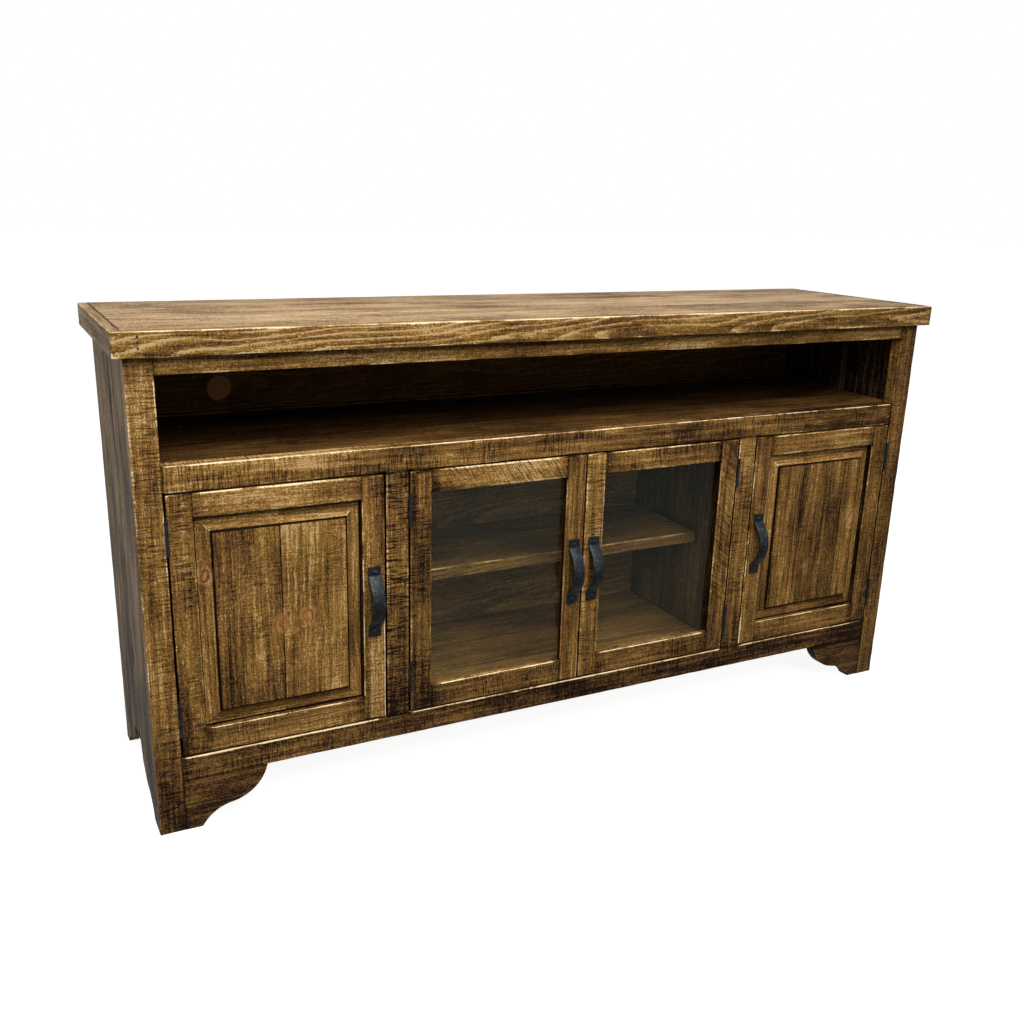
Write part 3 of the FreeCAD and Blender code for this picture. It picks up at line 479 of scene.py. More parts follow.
# How much bare wood or glaze shows; 1 is the most that a usual edge or face has. Bare wood on edges that
# look up carries a painted highlight, edges that look sideways or down get less of it as painted shade,
# and glaze in corners, gaps, under rails and inside the case carries painted shade.
BARE_LIT_EDGE, UPRIGHT_LESS_LIT_EDGE, SHADED_LOWER_EDGE = 2.2, 0.45, 0.3
CORNER_GLAZE_AND_SHADE, TOP_SEAM_GLAZE, SEAM_GLAZE = 1.4, 1.4, 0.8
INSIDE_GLAZE_AND_SHADE, DOOR_EDGE_GLAZE_AND_SHADE, INNER_SIDE_GLAZE_AND_SHADE = 1.0, 0.5, 0.35


def welded(node):
    """Copy of a node's solids, each in one piece."""
    shape = bmesh.new()
    shape.from_mesh(NODES[node].data)
    bmesh.ops.remove_doubles(shape, verts=shape.verts, dist=1e-6)
    return shape


def mesh_of(name, shape):
    """New mesh from a finished shape."""
    mesh = bpy.data.meshes.new(name)
    shape.to_mesh(mesh)
    shape.free()
    return mesh


def solid_of(node):
    """Clean copy of a node's solid, without its triangles' inner edges."""
    shape = welded(node)
    bmesh.ops.dissolve_limit(shape, angle_limit=math.radians(0.5), verts=shape.verts, edges=shape.edges)
    shape.normal_update()
    return shape


def ease_edges(shape, radius, neighbours):
    """Round the outer edges, only a little where a neighbour meets them, and mark the new faces as worn."""
    worn = shape.faces.layers.int.new("worn")
    met_radius = min(radius, 0.6 * MM)
    for met, size in ((False, radius), (True, met_radius)):
        sharp = [
            line for line in shape.edges
            if line.is_manifold and line.is_convex and line.calc_face_angle(0) > SHARP_EDGE
            and not any(face[worn] for face in line.link_faces)
            and touches((line.verts[0].co + line.verts[1].co) / 2, neighbours) == met]
        rounded = bmesh.ops.bevel(
            shape, geom=sharp, offset=size, offset_type="OFFSET", segments=2, profile=0.5, affect="EDGES",
            clamp_overlap=True)
        for face in rounded["faces"]:
            face[worn] = 1
    return worn


def score(shape, axis, place):
    """Cut every face along a plane across an axis."""
    point = Vector()
    point[axis] = place
    normal = Vector()
    normal[axis] = 1
    everything = shape.verts[:] + shape.edges[:] + shape.faces[:]
    bmesh.ops.bisect_plane(shape, geom=everything, dist=1e-7, plane_co=point, plane_no=normal)


def score_grid(shape, low, high, spacing, margin):
    """Lines near each edge and evenly between, so that unevenness has vertices to move."""
    for axis in (ACROSS, BACK, UP):
        size = high[axis] - low[axis]
        if size < 4 * margin:
            continue
        count = max(1, round((size - 2 * margin) / spacing))
        for number in range(count + 1):
            score(shape, axis, low[axis] + margin + (size - 2 * margin) * number / count)


def inner_corners(shape):
    """Where inner corners run straight along an axis: a set of places for each axis."""
    shortest = 15 * MM
    places = (set(), set(), set())
    for line in shape.edges:
        inner = line.is_manifold and line.calc_face_angle_signed(0) < INNER_CORNER
        if inner and line.calc_length() > shortest:
            first, second = (vertex.co for vertex in line.verts)
            for axis in range(3):
                if abs(first[axis] - second[axis]) < 1e-5:
                    places[axis].add(round(first[axis], 5))
    return places


def touches(place, neighbours, reach=0.8 * MM):
    """Whether a point lies in or near one of the neighbours' boxes."""
    return any(
        all(low[axis] - reach < place[axis] < high[axis] + reach for axis in range(3))
        for low, high in neighbours)


def neighbours_of(node, body):
    """Boxes of the other boards of the same body that touch a board."""
    low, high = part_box(node)
    found = []
    for other, slot in SLOTS.items():
        owner = next((door for door in DOORS if other.startswith(door)), "case")
        if other == node or owner != body or not slot.endswith("pine"):
            continue
        other_low, other_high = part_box(other)
        if all(other_low[axis] < high[axis] + MM and other_high[axis] > low[axis] - MM for axis in range(3)):
            found.append((other_low, other_high))
    return found


def board(node, stain_name, body="case", along=None, joints=(), radius=None, corners=False):
    """One board or glued-up panel, made from its node's own solid and standing in its place.

    joints are places across the board where planks meet; each plank gets grain and level of its own.
    corners asks for lines of painted shade that follow the board's inner corners.
    """
    sizes = settings().boards
    chance = random.Random(node)
    low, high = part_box(node)
    spread = high - low
    along = max(range(3), key=lambda axis: spread[axis]) if along is None else along
    depth = min((axis for axis in range(3) if axis != along), key=lambda axis: spread[axis])
    axes = (along, 3 - along - depth, depth)
    shape = solid_of(node)
    places = inner_corners(shape) if corners else ()
    neighbours = neighbours_of(node, body)
    for axis in (axes[:2] if corners else ()):
        places[axis].update(
            place for box in neighbours for place in (box[0][axis], box[1][axis])
            if low[axis] < place < high[axis])
    end_margin, edge_margin = 8 * MM, 3.5 * MM
    for box in neighbours:
        for place in (box[0][along], box[1][along]):
            if low[along] + end_margin < place < high[along] - end_margin:
                score(shape, along, place)
    worn = ease_edges(shape, radius or sizes.edge_round, neighbours)
    score_grid(shape, low, high, sizes.grid, edge_margin)
    beside_corner = (-3.2 * MM, -1.7 * MM, 1.7 * MM, 3.2 * MM)
    for axis, found in enumerate(places):
        for place in found:
            for step in beside_corner:
                score(shape, axis, place + step)
    half_joint = 1.6 * MM if corners else 0.9 * MM
    for place in joints:
        for step in (-half_joint, 0, half_joint):
            score(shape, axes[1], place + step)
    shape.normal_update()
    edge, grime = work_faces(
        shape, node, body, stain_name, worn, axes, joints, chance, neighbours, neighbours if corners else ())
    mesh = mesh_of(f"{node}_board", shape)
    lay_grain(mesh, node, axes, low, high, joints, chance, corners)
    for name, values in (("edge", edge), ("grime", grime)):
        mesh.attributes.new(name, "FLOAT", "POINT").data.foreach_set("value", values)
    pine = stained_pine(f"stained_pine_{stain_name}", getattr(settings(), stain_name))
    finish_piece(mesh, node, body, pine)


def front_limits(body):
    """Left and right ends of a body's front, just inside its outer faces, and the top of the cubby's sill."""
    ends = ("left_stile", "right_stile") if body == "case" else (f"{body}_hinge_stile", f"{body}_pull_stile")
    boxes = [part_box(end) for end in ends]
    left = min(box[0].x for box in boxes) + MM
    right = max(box[1].x for box in boxes) - MM
    return left, right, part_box("mid_rail")[1].z - MM


def glaze_and_shade_left(node, body, stain_name, limits, place, normal):
    """How much glaze stays on a face that was hard to reach with the rag, from none to all of it. The same
    amount is painted shade on the inner faces of the case's sides, on faces that look down, and on sideways
    faces in door gaps and inside a body's front.
    """
    if node.endswith("side_panel"):
        return INNER_SIDE_GLAZE_AND_SHADE if normal.x * place.x < -FACING * abs(place.x) else 0.0
    sideways = abs(normal.x) > FACING
    if stain_name != "front" or not (sideways or normal.z < -FACING):
        return 0.0
    left, right, sill = limits
    inside = left < place.x < right
    if sideways and body == "case" and (place.z > sill or not inside):
        return 0.0
    return INSIDE_GLAZE_AND_SHADE if inside else DOOR_EDGE_GLAZE_AND_SHADE


def work_faces(shape, node, body, stain_name, worn, axes, joints, chance, neighbours, framed):
    """Uneven faces, dented edges and open glue lines. Returns how worn each vertex is, with a painted
    highlight where edges look up, and how much glaze and painted shade it has.

    framed are the boxes of a frame that holds the board, along which glaze and painted shade gather. The
    upper front edge of a rail that hands and cloths pass is bare and carries a painted highlight; the
    upright edges of most front boards get less of that highlight, and edges that look down the least, as
    painted shade.
    """
    sizes = settings().boards
    along, wide, depth = axes
    shift = Vector([chance.uniform(0, 40) for axis in range(3)])
    inner = {
        vertex for line in shape.edges
        if line.is_manifold and line.calc_face_angle_signed(0) < INNER_CORNER
        and not any(face[worn] for face in line.link_faces)
        for vertex in line.verts}
    beside_inner = 2.4 * MM
    inner |= {
        line.other_vert(vertex) for vertex in inner for line in vertex.link_edges
        if line.calc_length() < beside_inner}
    rim_width = 2 * MM
    field_back = min(vertex.co[depth] for vertex in shape.verts) + rim_width
    field = [vertex.co for vertex in shape.verts if vertex.co[depth] < field_back]
    field_limits = [
        (axis, min(co[axis] for co in field), max(co[axis] for co in field)) for axis in (along, wide)]
    touched_and_lit = node in ("mid_rail", "top_front_band") or node.endswith("bottom_rail")
    upright_edges_less_lit = stain_name == "front" and node not in ("left_door_pull_stile", "right_door_pull_stile")
    lit_bare_from = 0.05 if node == "bottom_rail" else LEANING
    seam_glaze = TOP_SEAM_GLAZE if stain_name == "top" else SEAM_GLAZE
    limits = front_limits(body)
    edge, grime, moves = [], [], []
    for vertex in shape.verts:
        # full on an eased edge, weaker where it runs out into a face
        faces = [face[worn] for face in vertex.link_faces]
        rounding = 1.0 if all(faces) else 0.4 if any(faces) else 0.0
        place, normal = vertex.co, vertex.normal
        meets = rounding > 0 and touches(place, neighbours)
        if framed:
            on_field = normal[depth] < -FACING and place[depth] < field_back
        else:
            on_field = abs(normal[depth]) > FACING
        on_joint = on_field and any(abs(place[wide] - joint) < 0.1 * MM for joint in joints)
        # the upper front edge of a touched rail is bare wood with a painted highlight
        bare = touched_and_lit and rounding and normal.z > lit_bare_from and normal.y < -lit_bare_from
        wave = 0.5 + 0.5 * noise.noise(place * WAVES + shift)
        chip = 0.0 if bare else max(0.0, noise.noise(place * CHIPS + shift) - 0.1) * rounding
        inward = wave * sizes.waviness + chip * sizes.chip_depth + on_joint * JOINT_DEPTH
        moves.append(normal * -inward)
        # a raised field's rim gets no wear; it carries a line of painted shade, as in the quirk beside it
        rim = framed and place[depth] < field_back and any(
            min(place[axis] - start, end - place[axis]) < rim_width for axis, start, end in field_limits)
        # edges that look down get the least of the pale wear, as painted shade, and the upright edges of most
        # front boards get less of its painted highlight
        shaded = normal.z < -LEANING
        spared = upright_edges_less_lit and abs(normal.x) > LEANING
        wear_and_light = SHADED_LOWER_EDGE if shaded else UPRIGHT_LESS_LIT_EDGE if spared else 1.0
        edge.append(0.0 if meets or rim else BARE_LIT_EDGE if bare else wear_and_light * rounding)
        unwiped_and_shaded = glaze_and_shade_left(node, body, stain_name, limits, place, normal) if rounding < 1 else 0.0
        # glaze gathers with painted shade in inner corners, along glue lines, round a field's rim and along a
        # holding frame
        corner_shade_or_joint = vertex in inner or on_joint or rim or touches(place, framed, rim_width)
        grime.append(CORNER_GLAZE_AND_SHADE if corner_shade_or_joint else seam_glaze * rounding if meets else unwiped_and_shaded)
    for vertex, move in zip(shape.verts, moves):
        vertex.co += move
    return edge, grime


def lay_grain(mesh, node, axes, low, high, joints, chance, moulded):
    """Write where each point lies in its plank's timber, how the plank came out, and where its knots are.

    A moulded board's border was planed smooth; painted light makes it paler where it looks up or sideways,
    and painted shade makes it darker where it looks down.
    """
    along, wide, depth = axes
    levels, sawn, figure, low_fade, high_fade = BOARD_LOOKS.get(
        node, (chance.uniform(0.42, 0.54), 0.5, 0.5, 0, 0))
    slant = SLANTS.get(node, 0.0)
    limits = [low[wide], *joints, high[wide]]
    planks = []
    for number, (start, end) in enumerate(zip(limits, limits[1:])):
        planks.append({
            "middle": (start + end) / 2,
            "pith": (chance.uniform(-60, 60) * MM, chance.choice((-1, 1)) * chance.uniform(25, 80) * MM),
            "turn": chance.choice((-1, 1)),
            "from": [chance.uniform(0, 8) for axis in range(3)],
            "level": (levels[number % len(levels)] if isinstance(levels, tuple)
                      else levels + chance.uniform(-0.03, 0.03)),
        })
    border_level = sum(plank["level"] for plank in planks) / len(planks)
    knots = KNOTS.get(node, ())
    middle = (low + high) / 2
    border_sawn = 0.15
    no_knot_near = [9, 9, 9]
    values = {name: [] for name in ("grain", "timber", "eye", "level", "sawn", "figure")}
    for face in mesh.polygons:
        plank = planks[sum(face.center[wide] > joint for joint in joints)]
        # a moulded border lies a little behind the front of its panel
        border = moulded and face.normal[BACK] < 0.5 and face.center[BACK] > low[BACK] + 2 * MM
        inset = [min(face.center[axis] - low[axis], high[axis] - face.center[axis]) for axis in range(3)]
        lengthwise, crosswise = (wide, along) if border and inset[along] < inset[wide] else (along, wide)
        for number in face.vertices:
            vertex = mesh.vertices[number]
            place = vertex.co
            run = plank["turn"] * (place[lengthwise] - middle[lengthwise])
            side = place[crosswise] - (plank["middle"] if crosswise == wide else middle[crosswise])
            thick = place[depth] - middle[depth]
            values["grain"] += [run, side + plank["pith"][0], thick + plank["pith"][1]]
            values["timber"] += [
                run + slant * side + plank["from"][0], side + plank["from"][1], thick + plank["from"][2]]
            eye = no_knot_near
            for knot_along, knot_wide, radius in knots:
                offset = [
                    (place[along] - knot_along) / radius / KNOT_STRETCH,
                    (place[wide] - knot_wide) / radius, 0]
                if math.hypot(*offset) < math.hypot(*eye):
                    eye = offset
            values["eye"] += eye
            share_along = (place[along] - low[along]) / (high[along] - low[along])
            fade = low_fade * (1 - share_along) ** 3 + high_fade * share_along ** 3
            # painted light and shade on a moulded border: paler where it looks up or sideways, darker where
            # it looks down
            wiped = 0.06 + 0.24 * vertex.normal.z + 0.12 * abs(vertex.normal.x)
            values["level"].append(border_level + wiped if border else plank["level"] + fade)
            values["sawn"].append(border_sawn if border else sawn)
            values["figure"].append(figure)
    for name, numbers in values.items():
        kind, key = ("FLOAT_VECTOR", "vector") if name in ("grain", "timber", "eye") else ("FLOAT", "value")
        mesh.attributes.new(name, kind, "CORNER").data.foreach_set(key, numbers)


def finish_piece(mesh, node, body, material):
    """Put a finished mesh in the scene in place of its node."""
    mesh.materials.append(material)
    mesh.polygons.foreach_set("use_smooth", [True] * len(mesh.polygons))
    mesh.set_sharp_from_angle(angle=math.radians(32))
    piece = bpy.data.objects.new(mesh.name, mesh)
    bpy.context.scene.collection.objects.link(piece)
    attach(piece, body)
    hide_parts(node)


def dress(node, material, ease=0.0):
    """Keep a node's own solid: give it a material and, where asked, softened edges."""
    item = NODES[node]
    item.data.materials.clear()
    item.data.materials.append(material)
    if ease:
        soften = item.modifiers.new("soft edges", "BEVEL")
        soften.width = ease
        soften.segments = 2
        soften.limit_method = "ANGLE"
        soften.angle_limit = math.radians(40)


# Ironwork


def loose_boxes(node):
    """Low and high corners of each separate solid in a node."""
    shape = welded(node)
    waiting = set(shape.verts)
    boxes = []
    for start in shape.verts:
        if start not in waiting:
            continue
        waiting.remove(start)
        reached = [start]
        found = []
        while reached:
            vertex = reached.pop()
            found.append(vertex.co.copy())
            for link in vertex.link_edges:
                other = link.other_vert(vertex)
                if other in waiting:
                    waiting.remove(other)
                    reached.append(other)
        low = Vector([min(point[axis] for point in found) for axis in range(3)])
        high = Vector([max(point[axis] for point in found) for axis in range(3)])
        boxes.append((low, high))
    shape.free()
    return boxes


def skin(shape, rows):
    """Join rows of vertices into a skin and close both ends."""
    count = len(rows[0])
    for first, second in zip(rows, rows[1:]):
        for spot in range(count):
            following = (spot + 1) % count
            shape.faces.new((first[spot], first[following], second[following], second[spot]))
    shape.faces.new(rows[0][::-1])
    shape.faces.new(rows[-1])


def forge(shape, name, node, body):
    """Make an iron piece from a finished shape, in place of its node."""
    bmesh.ops.recalc_face_normals(shape, faces=shape.faces)
    finish_piece(mesh_of(name, shape), node, body, forged_iron())


def strap_path(reach, half_length, tab, thickness):
    """Heights and distances from the door of a strap's inner face: tab, bow, tab, with eased bends."""
    steps, easings, bend_reach = 96, 6, 7 * MM
    half_bow = half_length - tab
    rise = reach - thickness
    radius = (half_bow ** 2 + rise ** 2) / (2 * rise)
    heights = [half_length * (2 * step / steps - 1) for step in range(steps + 1)]
    points = []
    for height in heights:
        inside = max(0.0, half_bow ** 2 - height ** 2)
        bow = math.sqrt(radius ** 2 - height ** 2) - (radius - rise) if inside else 0.0
        points.append([height, max(0.0, bow)])
    for easing in range(easings):
        smooth = [row[1] for row in points]
        for step in range(1, len(points) - 1):
            if abs(abs(points[step][0]) - half_bow) < bend_reach:
                points[step][1] = (smooth[step - 1] + 2 * smooth[step] + smooth[step + 1]) / 4
    return points


def strap_pull(node, body):
    """Forged strap pull: a flat bar, bent and hammered, with slightly uneven edges."""
    low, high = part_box(node)
    middle = (low + high) / 2
    face = high[BACK]
    thickness, tab, corner, dent_depth = 4 * MM, 20 * MM, 1.1 * MM, 0.35 * MM
    half_width = (high[ACROSS] - low[ACROSS]) / 2
    path = strap_path(face - low[BACK], (high[UP] - low[UP]) / 2, tab, thickness)
    section = []
    for side, start in ((1, 0), (-1, 90), (-1, 180), (1, 270)):
        for angle in (start, start + 45, start + 90):
            x = side * (half_width - corner)
            t = thickness - corner if start < 180 else corner
            turn = math.radians(angle)
            section.append((x + corner * math.cos(turn), t + corner * math.sin(turn)))
    shift = Vector((random.Random(node).uniform(0, 50), 0, 0))
    shape = bmesh.new()
    rows = []
    for step, (height, out) in enumerate(path):
        before = path[max(0, step - 1)]
        after = path[min(len(path) - 1, step + 1)]
        run = Vector((after[0] - before[0], after[1] - before[1])).normalized()
        row = []
        # the edges wander over some centimetres, and hammer dents lie a few millimetres apart
        for x, t in section:
            wobble = noise.noise(Vector((x * 20, height * 70, 0)) + shift)
            dent = max(0.0, noise.noise(Vector((x * 160, height * 160, t * 100)) + shift)) * dent_depth
            lift = max(0.0, t - dent * (t > thickness / 2))
            place = Vector((middle[ACROSS] + x * (1 + 0.03 * wobble), face - (out + lift * run.x),
                            middle[UP] + height - lift * run.y))
            place[BACK] = min(place[BACK], face)
            row.append(shape.verts.new(place))
        rows.append(row)
    skin(shape, rows)
    forge(shape, f"{node}_strap", node, body)


def turned(shape, profile, start, axis):
    """Add a turned form. Profile rows are distance along the axis, radius, and depth of a cross cut in it."""
    steps = 24
    turn = Vector((0, 0, 1)).rotation_difference(axis).to_matrix()
    rows = []
    for distance, radius, crossed in profile:
        row = []
        for step in range(steps):
            angle = 2 * math.pi * step / steps
            arm = max(abs(math.cos(angle)), abs(math.sin(angle))) ** 8
            reach = radius * (1 - crossed * (1 - arm))
            point = Vector((reach * math.cos(angle), reach * math.sin(angle), distance))
            row.append(shape.verts.new(start + turn @ point))
        rows.append(row)
    skin(shape, rows)


def screws_of(door):
    """All screws of a door, each turned and headed for its own job."""
    node = f"{door}_screws"
    shape = bmesh.new()
    door_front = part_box(f"{door}_pull_stile")[0][BACK]
    hinge_stile_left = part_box(f"{door}_hinge_stile")[0][ACROSS]
    for low, high in loose_boxes(node):
        size = high - low
        middle = (low + high) / 2
        head = size[UP] / 2
        if size[ACROSS] > size[BACK]:
            inward = Vector((1 if low[ACROSS] < hinge_stile_left else -1, 0, 0))
            countersunk(shape, middle - inward * (size[ACROSS] / 2), inward, head, size[ACROSS])
        else:
            in_front = low[BACK] < door_front
            inward = Vector((0, 1 if in_front else -1, 0))
            cross = 0.0 if in_front else 0.45
            domed(shape, middle - inward * (size[BACK] / 2), inward, head, size[BACK], cross)
    forge(shape, f"{node}_turned", node, door)


def countersunk(shape, start, inward, head, whole):
    """Flat-headed screw with a cross recess, its head level with the start point."""
    shank = head * 0.55
    turned(shape, [
        (0.6 * MM, head * 0.16, 0.6), (0.5 * MM, head * 0.5, 0.6), (0.0, head * 0.55, 0.55), (0.0, head, 0),
        (1.2 * MM, shank, 0), (whole * 0.8, shank * 0.9, 0), (whole, shank * 0.15, 0)], start, inward)


def domed(shape, start, inward, head, whole, cross):
    """Round-headed rivet or screw whose crown lies at the start point."""
    dome = min(2.5 * MM, whole * 0.12)
    shank = head * 0.42
    turned(shape, [
        (0.25 * dome if cross else 0.0, head * 0.12, 0), (0.02 * dome, head * 0.45, cross),
        (0.12 * dome, head * 0.62, 0), (0.4 * dome, head * 0.86, 0), (0.75 * dome, head * 0.98, 0),
        (dome, head, 0), (dome, shank, 0), (whole * 0.85, shank * 0.9, 0), (whole, shank * 0.15, 0)],
        start, inward)


# Operators


def even_joints(node, axis, planks):
    """Places where a panel's equal planks meet."""
    low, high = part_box(node)
    return [low[axis] + (high[axis] - low[axis]) * number / planks for number in range(1, planks)]


class STAND_OT_top(bpy.types.Operator):
    """Plank top with its end bands and front band"""

    bl_idname = "stand.top"
    bl_label = "Top"

    def execute(self, context):
        joints = even_joints("top_panel", BACK, 3)
        board("top_panel", "top", along=ACROSS, joints=joints, radius=0.9 * MM)
        for node in ("top_left_end", "top_right_end"):
            board(node, "top", radius=2 * MM)
        board("top_front_band", "front", radius=2 * MM)
        return {"FINISHED"}


class STAND_OT_face_frame(bpy.types.Operator):
    """Stiles, rails and scroll feet of the face frame"""

    bl_idname = "stand.face_frame"
    bl_label = "Face frame"

    def execute(self, context):
        for node in ("top_rail", "mid_rail", "bottom_rail", "left_stile", "right_stile",
                     "left_mid_stile", "right_mid_stile", "left_bracket_foot", "right_bracket_foot"):
            board(node, "front")
        return {"FINISHED"}


class STAND_OT_case(bpy.types.Operator):
    """Sides, floors, partitions, shelf and back of the case"""

    bl_idname = "stand.case"
    bl_label = "Case"

    def execute(self, context):
        for node in ("left_side_panel", "right_side_panel"):
            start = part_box(node)[0][BACK]
            board(node, "side", along=UP, joints=[start + 156 * MM, start + 290 * MM], radius=0.9 * MM)
        for node in ("bottom_panel", "cubby_floor"):
            board(node, "inner", joints=even_joints(node, BACK, 3))
        board("centre_shelf", "inner")
        for node in ("left_partition", "right_partition"):
            board(node, "inner", along=UP)
        joints = even_joints("back_panel", UP, 4)
        board("back_panel", "inner", along=ACROSS, joints=joints, radius=0.9 * MM)
        return {"FINISHED"}


class STAND_OT_doors(bpy.types.Operator):
    """Frames, raised panels and panes of the doors"""

    bl_idname = "stand.doors"
    bl_label = "Doors"

    def execute(self, context):
        glue_lines = {"left_door": (-629 * MM,), "right_door": (579 * MM, 702 * MM)}
        glass = float_glass()
        for door in DOORS:
            for member in ("hinge_stile", "pull_stile", "top_rail", "bottom_rail"):
                board(f"{door}_{member}", "front", door)
            if door in glue_lines:
                board(f"{door}_panel", "front", door, along=UP, joints=glue_lines[door], radius=0.8 * MM,
                      corners=True)
            else:
                dress(f"{door}_pane", glass)
        return {"FINISHED"}


class STAND_OT_pulls(bpy.types.Operator):
    """Forged strap pulls and the doors' screws"""

    bl_idname = "stand.pulls"
    bl_label = "Pulls and screws"

    def execute(self, context):
        for door in DOORS:
            strap_pull(f"{door}_pull", door)
            screws_of(door)
        return {"FINISHED"}


class STAND_OT_hinges(bpy.types.Operator):
    """Butt hinges, nails, clips and catches"""

    bl_idname = "stand.hinges"
    bl_label = "Hinges and small fittings"

    def execute(self, context):
        iron = forged_iron()
        for door in DOORS:
            dress(f"{door}_hinge_leaves", iron, 0.3 * MM)
        for node in ("hinge_frame_leaves", "hinge_pins"):
            dress(node, iron, 0.3 * MM)
        for node in ("hinge_frame_screws", "case_nails"):
            dress(node, iron)
        for door in ("left_glass_door", "right_glass_door"):
            dress(f"{door}_clips", iron, 0.4 * MM)
        dress("door_catches", moulded_plastic(), 1.2 * MM)
        return {"FINISHED"}


class STAND_OT_stage(bpy.types.Operator):
    """Camera, lamps, world and floor"""

    bl_idname = "stand.stage"
    bl_label = "Stage"

    def execute(self, context):
        values = settings().stage
        place_camera(values)
        place_lamps(values)
        light_world(values)
        lay_floor(values)
        lay_card()
        paint_hole_shade()
        context.scene.view_settings.view_transform = "Standard"
        return {"FINISHED"}


# The camera as it was fitted: lens shift as a share of the frame's width, and the directions of the
# frame's right edge, of its lower edge and of the view
LENS_SHIFT = (0.00875, 0.00755)
TO_RIGHT = Vector((0.8931061, -0.44914962, 0.02502218))
TO_LOWER = Vector((-0.1109837, -0.27390582, -0.95533147))
TO_VIEW = Vector((0.43594049, 0.85043531, -0.29447525))


def place_camera(values):
    """Camera at the photograph's viewpoint, with the small shift of its framing."""
    lens = bpy.data.cameras.new("camera")
    lens.sensor_width = 36
    lens.lens = values.focal_length
    lens.shift_x, lens.shift_y = LENS_SHIFT
    lens.clip_end = 100
    pose = Matrix((TO_RIGHT, -TO_LOWER, -TO_VIEW)).transposed().to_4x4()
    pose.translation = Vector(values.camera_place)
    camera = bpy.data.objects.new("camera", lens)
    camera.matrix_world = pose
    bpy.context.scene.collection.objects.link(camera)
    bpy.context.scene.camera = camera


def place_lamps(values):
    """A wide ceiling panel over the front of the stand, a weak lamp from the left and one from behind."""
    lamps = (  # name, place, target, size, power
        ("ceiling_lamp", (-0.5, -2.9, 3.0), (-0.5, -2.9, 0.0), (2.2, 4.4), values.key_power),
        ("side_lamp", (-3.4, -1.0, 2.4), (0.0, 0.0, 0.5), (1.6, 1.6), values.key_power * 0.04),
        ("back_lamp", (2.4, 3.2, 1.2), (0.0, 0.0, 0.45), (2.0, 2.0), values.key_power * 0.36),
    )
    for name, place, target, size, power in lamps:
        lamp = bpy.data.lights.new(name, "AREA")
        lamp.shape = "RECTANGLE"
        lamp.size, lamp.size_y = size
        lamp.energy = power
        item = bpy.data.objects.new(name, lamp)
        item.location = place
        aim = Vector(target) - Vector(place)
        item.rotation_euler = aim.to_track_quat("-Z", "Y").to_euler()
        item.visible_glossy = name != "back_lamp"
        bpy.context.scene.collection.objects.link(item)


def seen_directly(tree):
    """1 for what the camera, glass and metal see, 0 for what lights the object."""
    path = add(tree, "ShaderNodeLightPath")
    seen = add(tree, "ShaderNodeMath", {
        0: path.outputs["Is Camera Ray"], 1: path.outputs["Is Transmission Ray"]}, operation="MAXIMUM")
    return add(tree, "ShaderNodeMath", {0: seen, 1: path.outputs["Is Glossy Ray"]}, operation="MAXIMUM")


def light_world(values):
    """Even fill for the object; plain white where the camera, glass and metal see past it."""
    world = bpy.data.worlds.new("white_studio")
    world.use_nodes = True
    tree = world.node_tree
    tree.nodes.clear()
    strength = add(tree, "ShaderNodeMapRange", {
        "Value": seen_directly(tree), "To Min": values.fill, "To Max": 1.0})
    white = add(tree, "ShaderNodeBackground", {"Color": (1, 1, 1, 1), "Strength": strength})
    tree.nodes.active = add(tree, "ShaderNodeOutputWorld", {"Surface": white})
    bpy.context.scene.world = world


def stage_piece(name, shape, material, place=(0, 0, 0), unseen_by=()):
    """Put a finished shape on the stage, hidden from some kinds of ray."""
    mesh = mesh_of(name, shape)
    mesh.materials.append(material)
    item = bpy.data.objects.new(name, mesh)
    item.location = place
    for rays in unseen_by:
        setattr(item, f"visible_{rays}", False)
    bpy.context.scene.collection.objects.link(item)


def lay_floor(values):
    """Pale floor that keeps the stand's shadow and brightens to the white of the background far away."""
    shape = bmesh.new()
    half_width = 30  # metres
    bmesh.ops.create_grid(shape, x_segments=2, y_segments=2, size=half_width)
    material, tree = blank_material("pale_floor")
    paint = add(tree, "ShaderNodeBsdfDiffuse", {"Color": rgba(values.floor)})
    dim = add(tree, "ShaderNodeBsdfDiffuse", {"Color": (0.35, 0.35, 0.35, 1)})
    place = add(tree, "ShaderNodeTexCoord").outputs["Object"]
    away = add(tree, "ShaderNodeVectorMath", {0: place}, operation="LENGTH").outputs["Value"]
    strength = add(tree, "ShaderNodeMapRange", {
        "Value": away, "From Min": 1.2, "From Max": 2.8, "To Min": 0.9})
    glow = add(tree, "ShaderNodeEmission", {"Color": (1, 1, 1, 1), "Strength": strength})
    pale = add(tree, "ShaderNodeAddShader", {0: dim, 1: glow})
    mixed = add(tree, "ShaderNodeMixShader", {0: seen_directly(tree), 1: paint, 2: pale})
    add(tree, "ShaderNodeOutputMaterial", {"Surface": mixed})
    stage_piece("floor", shape, material, (0, 0, -0.5 * MM))


def lay_card():
    """Dark card on the floor in front, hidden from the camera: it keeps the panes clear of glare."""
    shape = bmesh.new()
    for x, y in ((-2.6, -0.27), (4.0, -0.27), (4.0, -4.6), (-2.6, -4.6)):
        shape.verts.new((x, y, MM))
    shape.faces.new(shape.verts[:])
    material, tree = blank_material("dark_card")
    paint = add(tree, "ShaderNodeBsdfDiffuse", {"Color": rgba(linear("#5E625C"))})
    add(tree, "ShaderNodeOutputMaterial", {"Surface": paint})
    stage_piece("dark_card", shape, material, unseen_by=("camera", "shadow"))


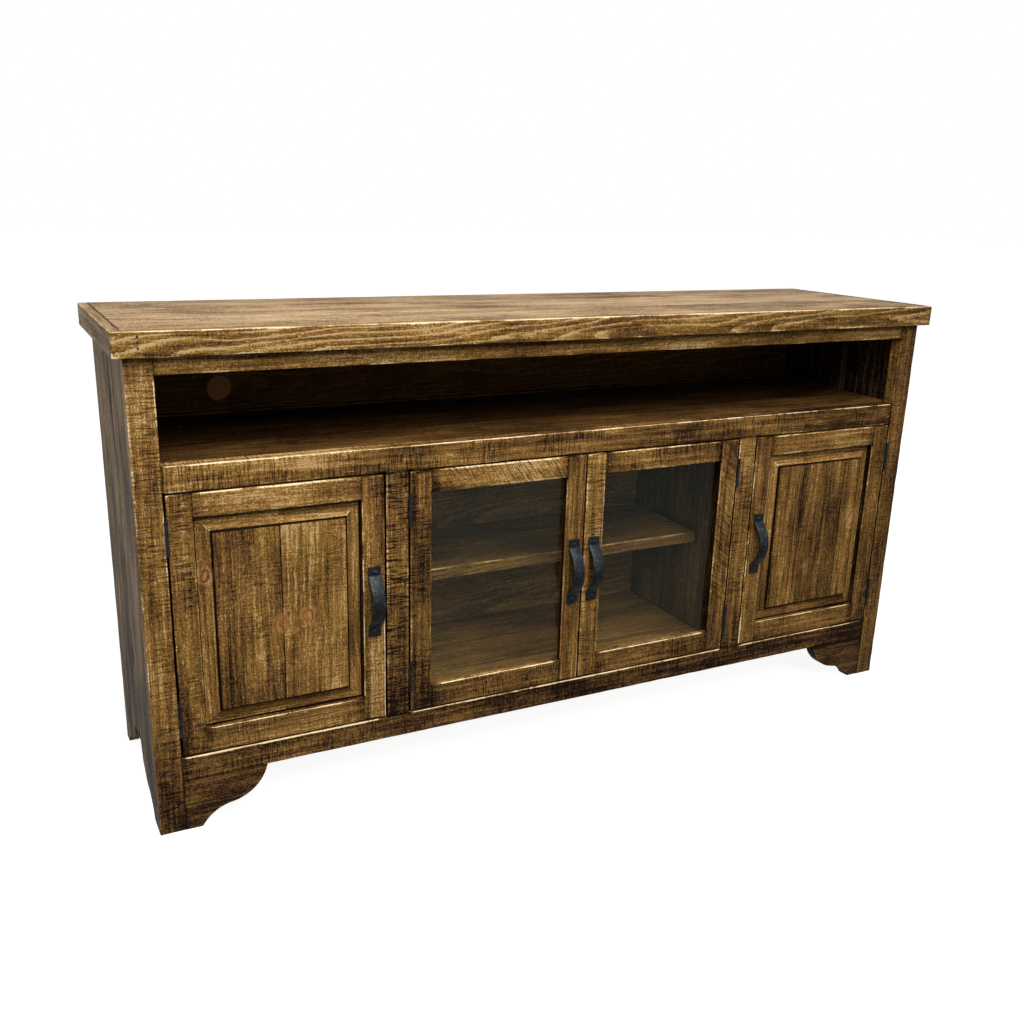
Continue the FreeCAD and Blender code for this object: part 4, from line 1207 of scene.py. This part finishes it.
def paint_hole_shade():
    """Disc glowing dim brown close behind the cable hole: painted shade in place of the shaded wall a hole
    shows, so that the hole stays dark on the white stage.
    """
    hole = next(mount for mount in frame["record"]["mounts"] if mount["name"] == "cable_hole")
    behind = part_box("back_panel")[1][BACK] + 0.6 * MM
    shape = bmesh.new()
    bmesh.ops.create_circle(
        shape, cap_ends=True, segments=48, radius=30 * MM, matrix=Matrix.Rotation(math.radians(90), 4, "X"))
    material, tree = blank_material("dim_disc")
    # its dim brown glow is painted shade
    dim = add(tree, "ShaderNodeEmission", {"Color": rgba(linear("#26190C")), "Strength": 1.0})
    add(tree, "ShaderNodeOutputMaterial", {"Surface": dim})
    place = (hole["pos_m"][ACROSS], behind, hole["pos_m"][UP])
    stage_piece("dim_disc", shape, material, place, unseen_by=("diffuse", "shadow"))


class STAND_PT_panel(bpy.types.Panel):
    """Lists the steps that dress the stand"""

    bl_idname = "STAND_PT_panel"
    bl_label = "TV stand"
    bl_space_type = "VIEW_3D"
    bl_region_type = "UI"
    bl_category = "TV stand"

    def draw(self, context):
        for step in STEPS:
            self.layout.operator(step.bl_idname)
        for name in ("boards", "front", "top", "side", "inner", "fittings", "stage"):
            box = self.layout.box()
            box.label(text=name.capitalize())
            group = getattr(context.scene.tv_stand, name)
            for key in group.__annotations__:
                box.prop(group, key)


STEPS = (STAND_OT_stage, STAND_OT_top, STAND_OT_face_frame, STAND_OT_case, STAND_OT_doors, STAND_OT_pulls,
         STAND_OT_hinges)
CLASSES = (StandBoards, FrontStain, TopStain, SideStain, InnerStain, StandFittings, StandStage, StandSettings,
           *STEPS, STAND_PT_panel)


def register():
    for item in CLASSES:
        bpy.utils.register_class(item)
    bpy.types.Scene.tv_stand = bpy.props.PointerProperty(type=StandSettings)


def unregister():
    del bpy.types.Scene.tv_stand
    for item in reversed(CLASSES):
        bpy.utils.unregister_class(item)


def main():
    register()
    bpy.ops.stand.stage()
    bpy.ops.stand.top()
    bpy.ops.stand.face_frame()
    bpy.ops.stand.case()
    bpy.ops.stand.doors()
    bpy.ops.stand.pulls()
    bpy.ops.stand.hinges()


if __name__ == "__main__":
    main()
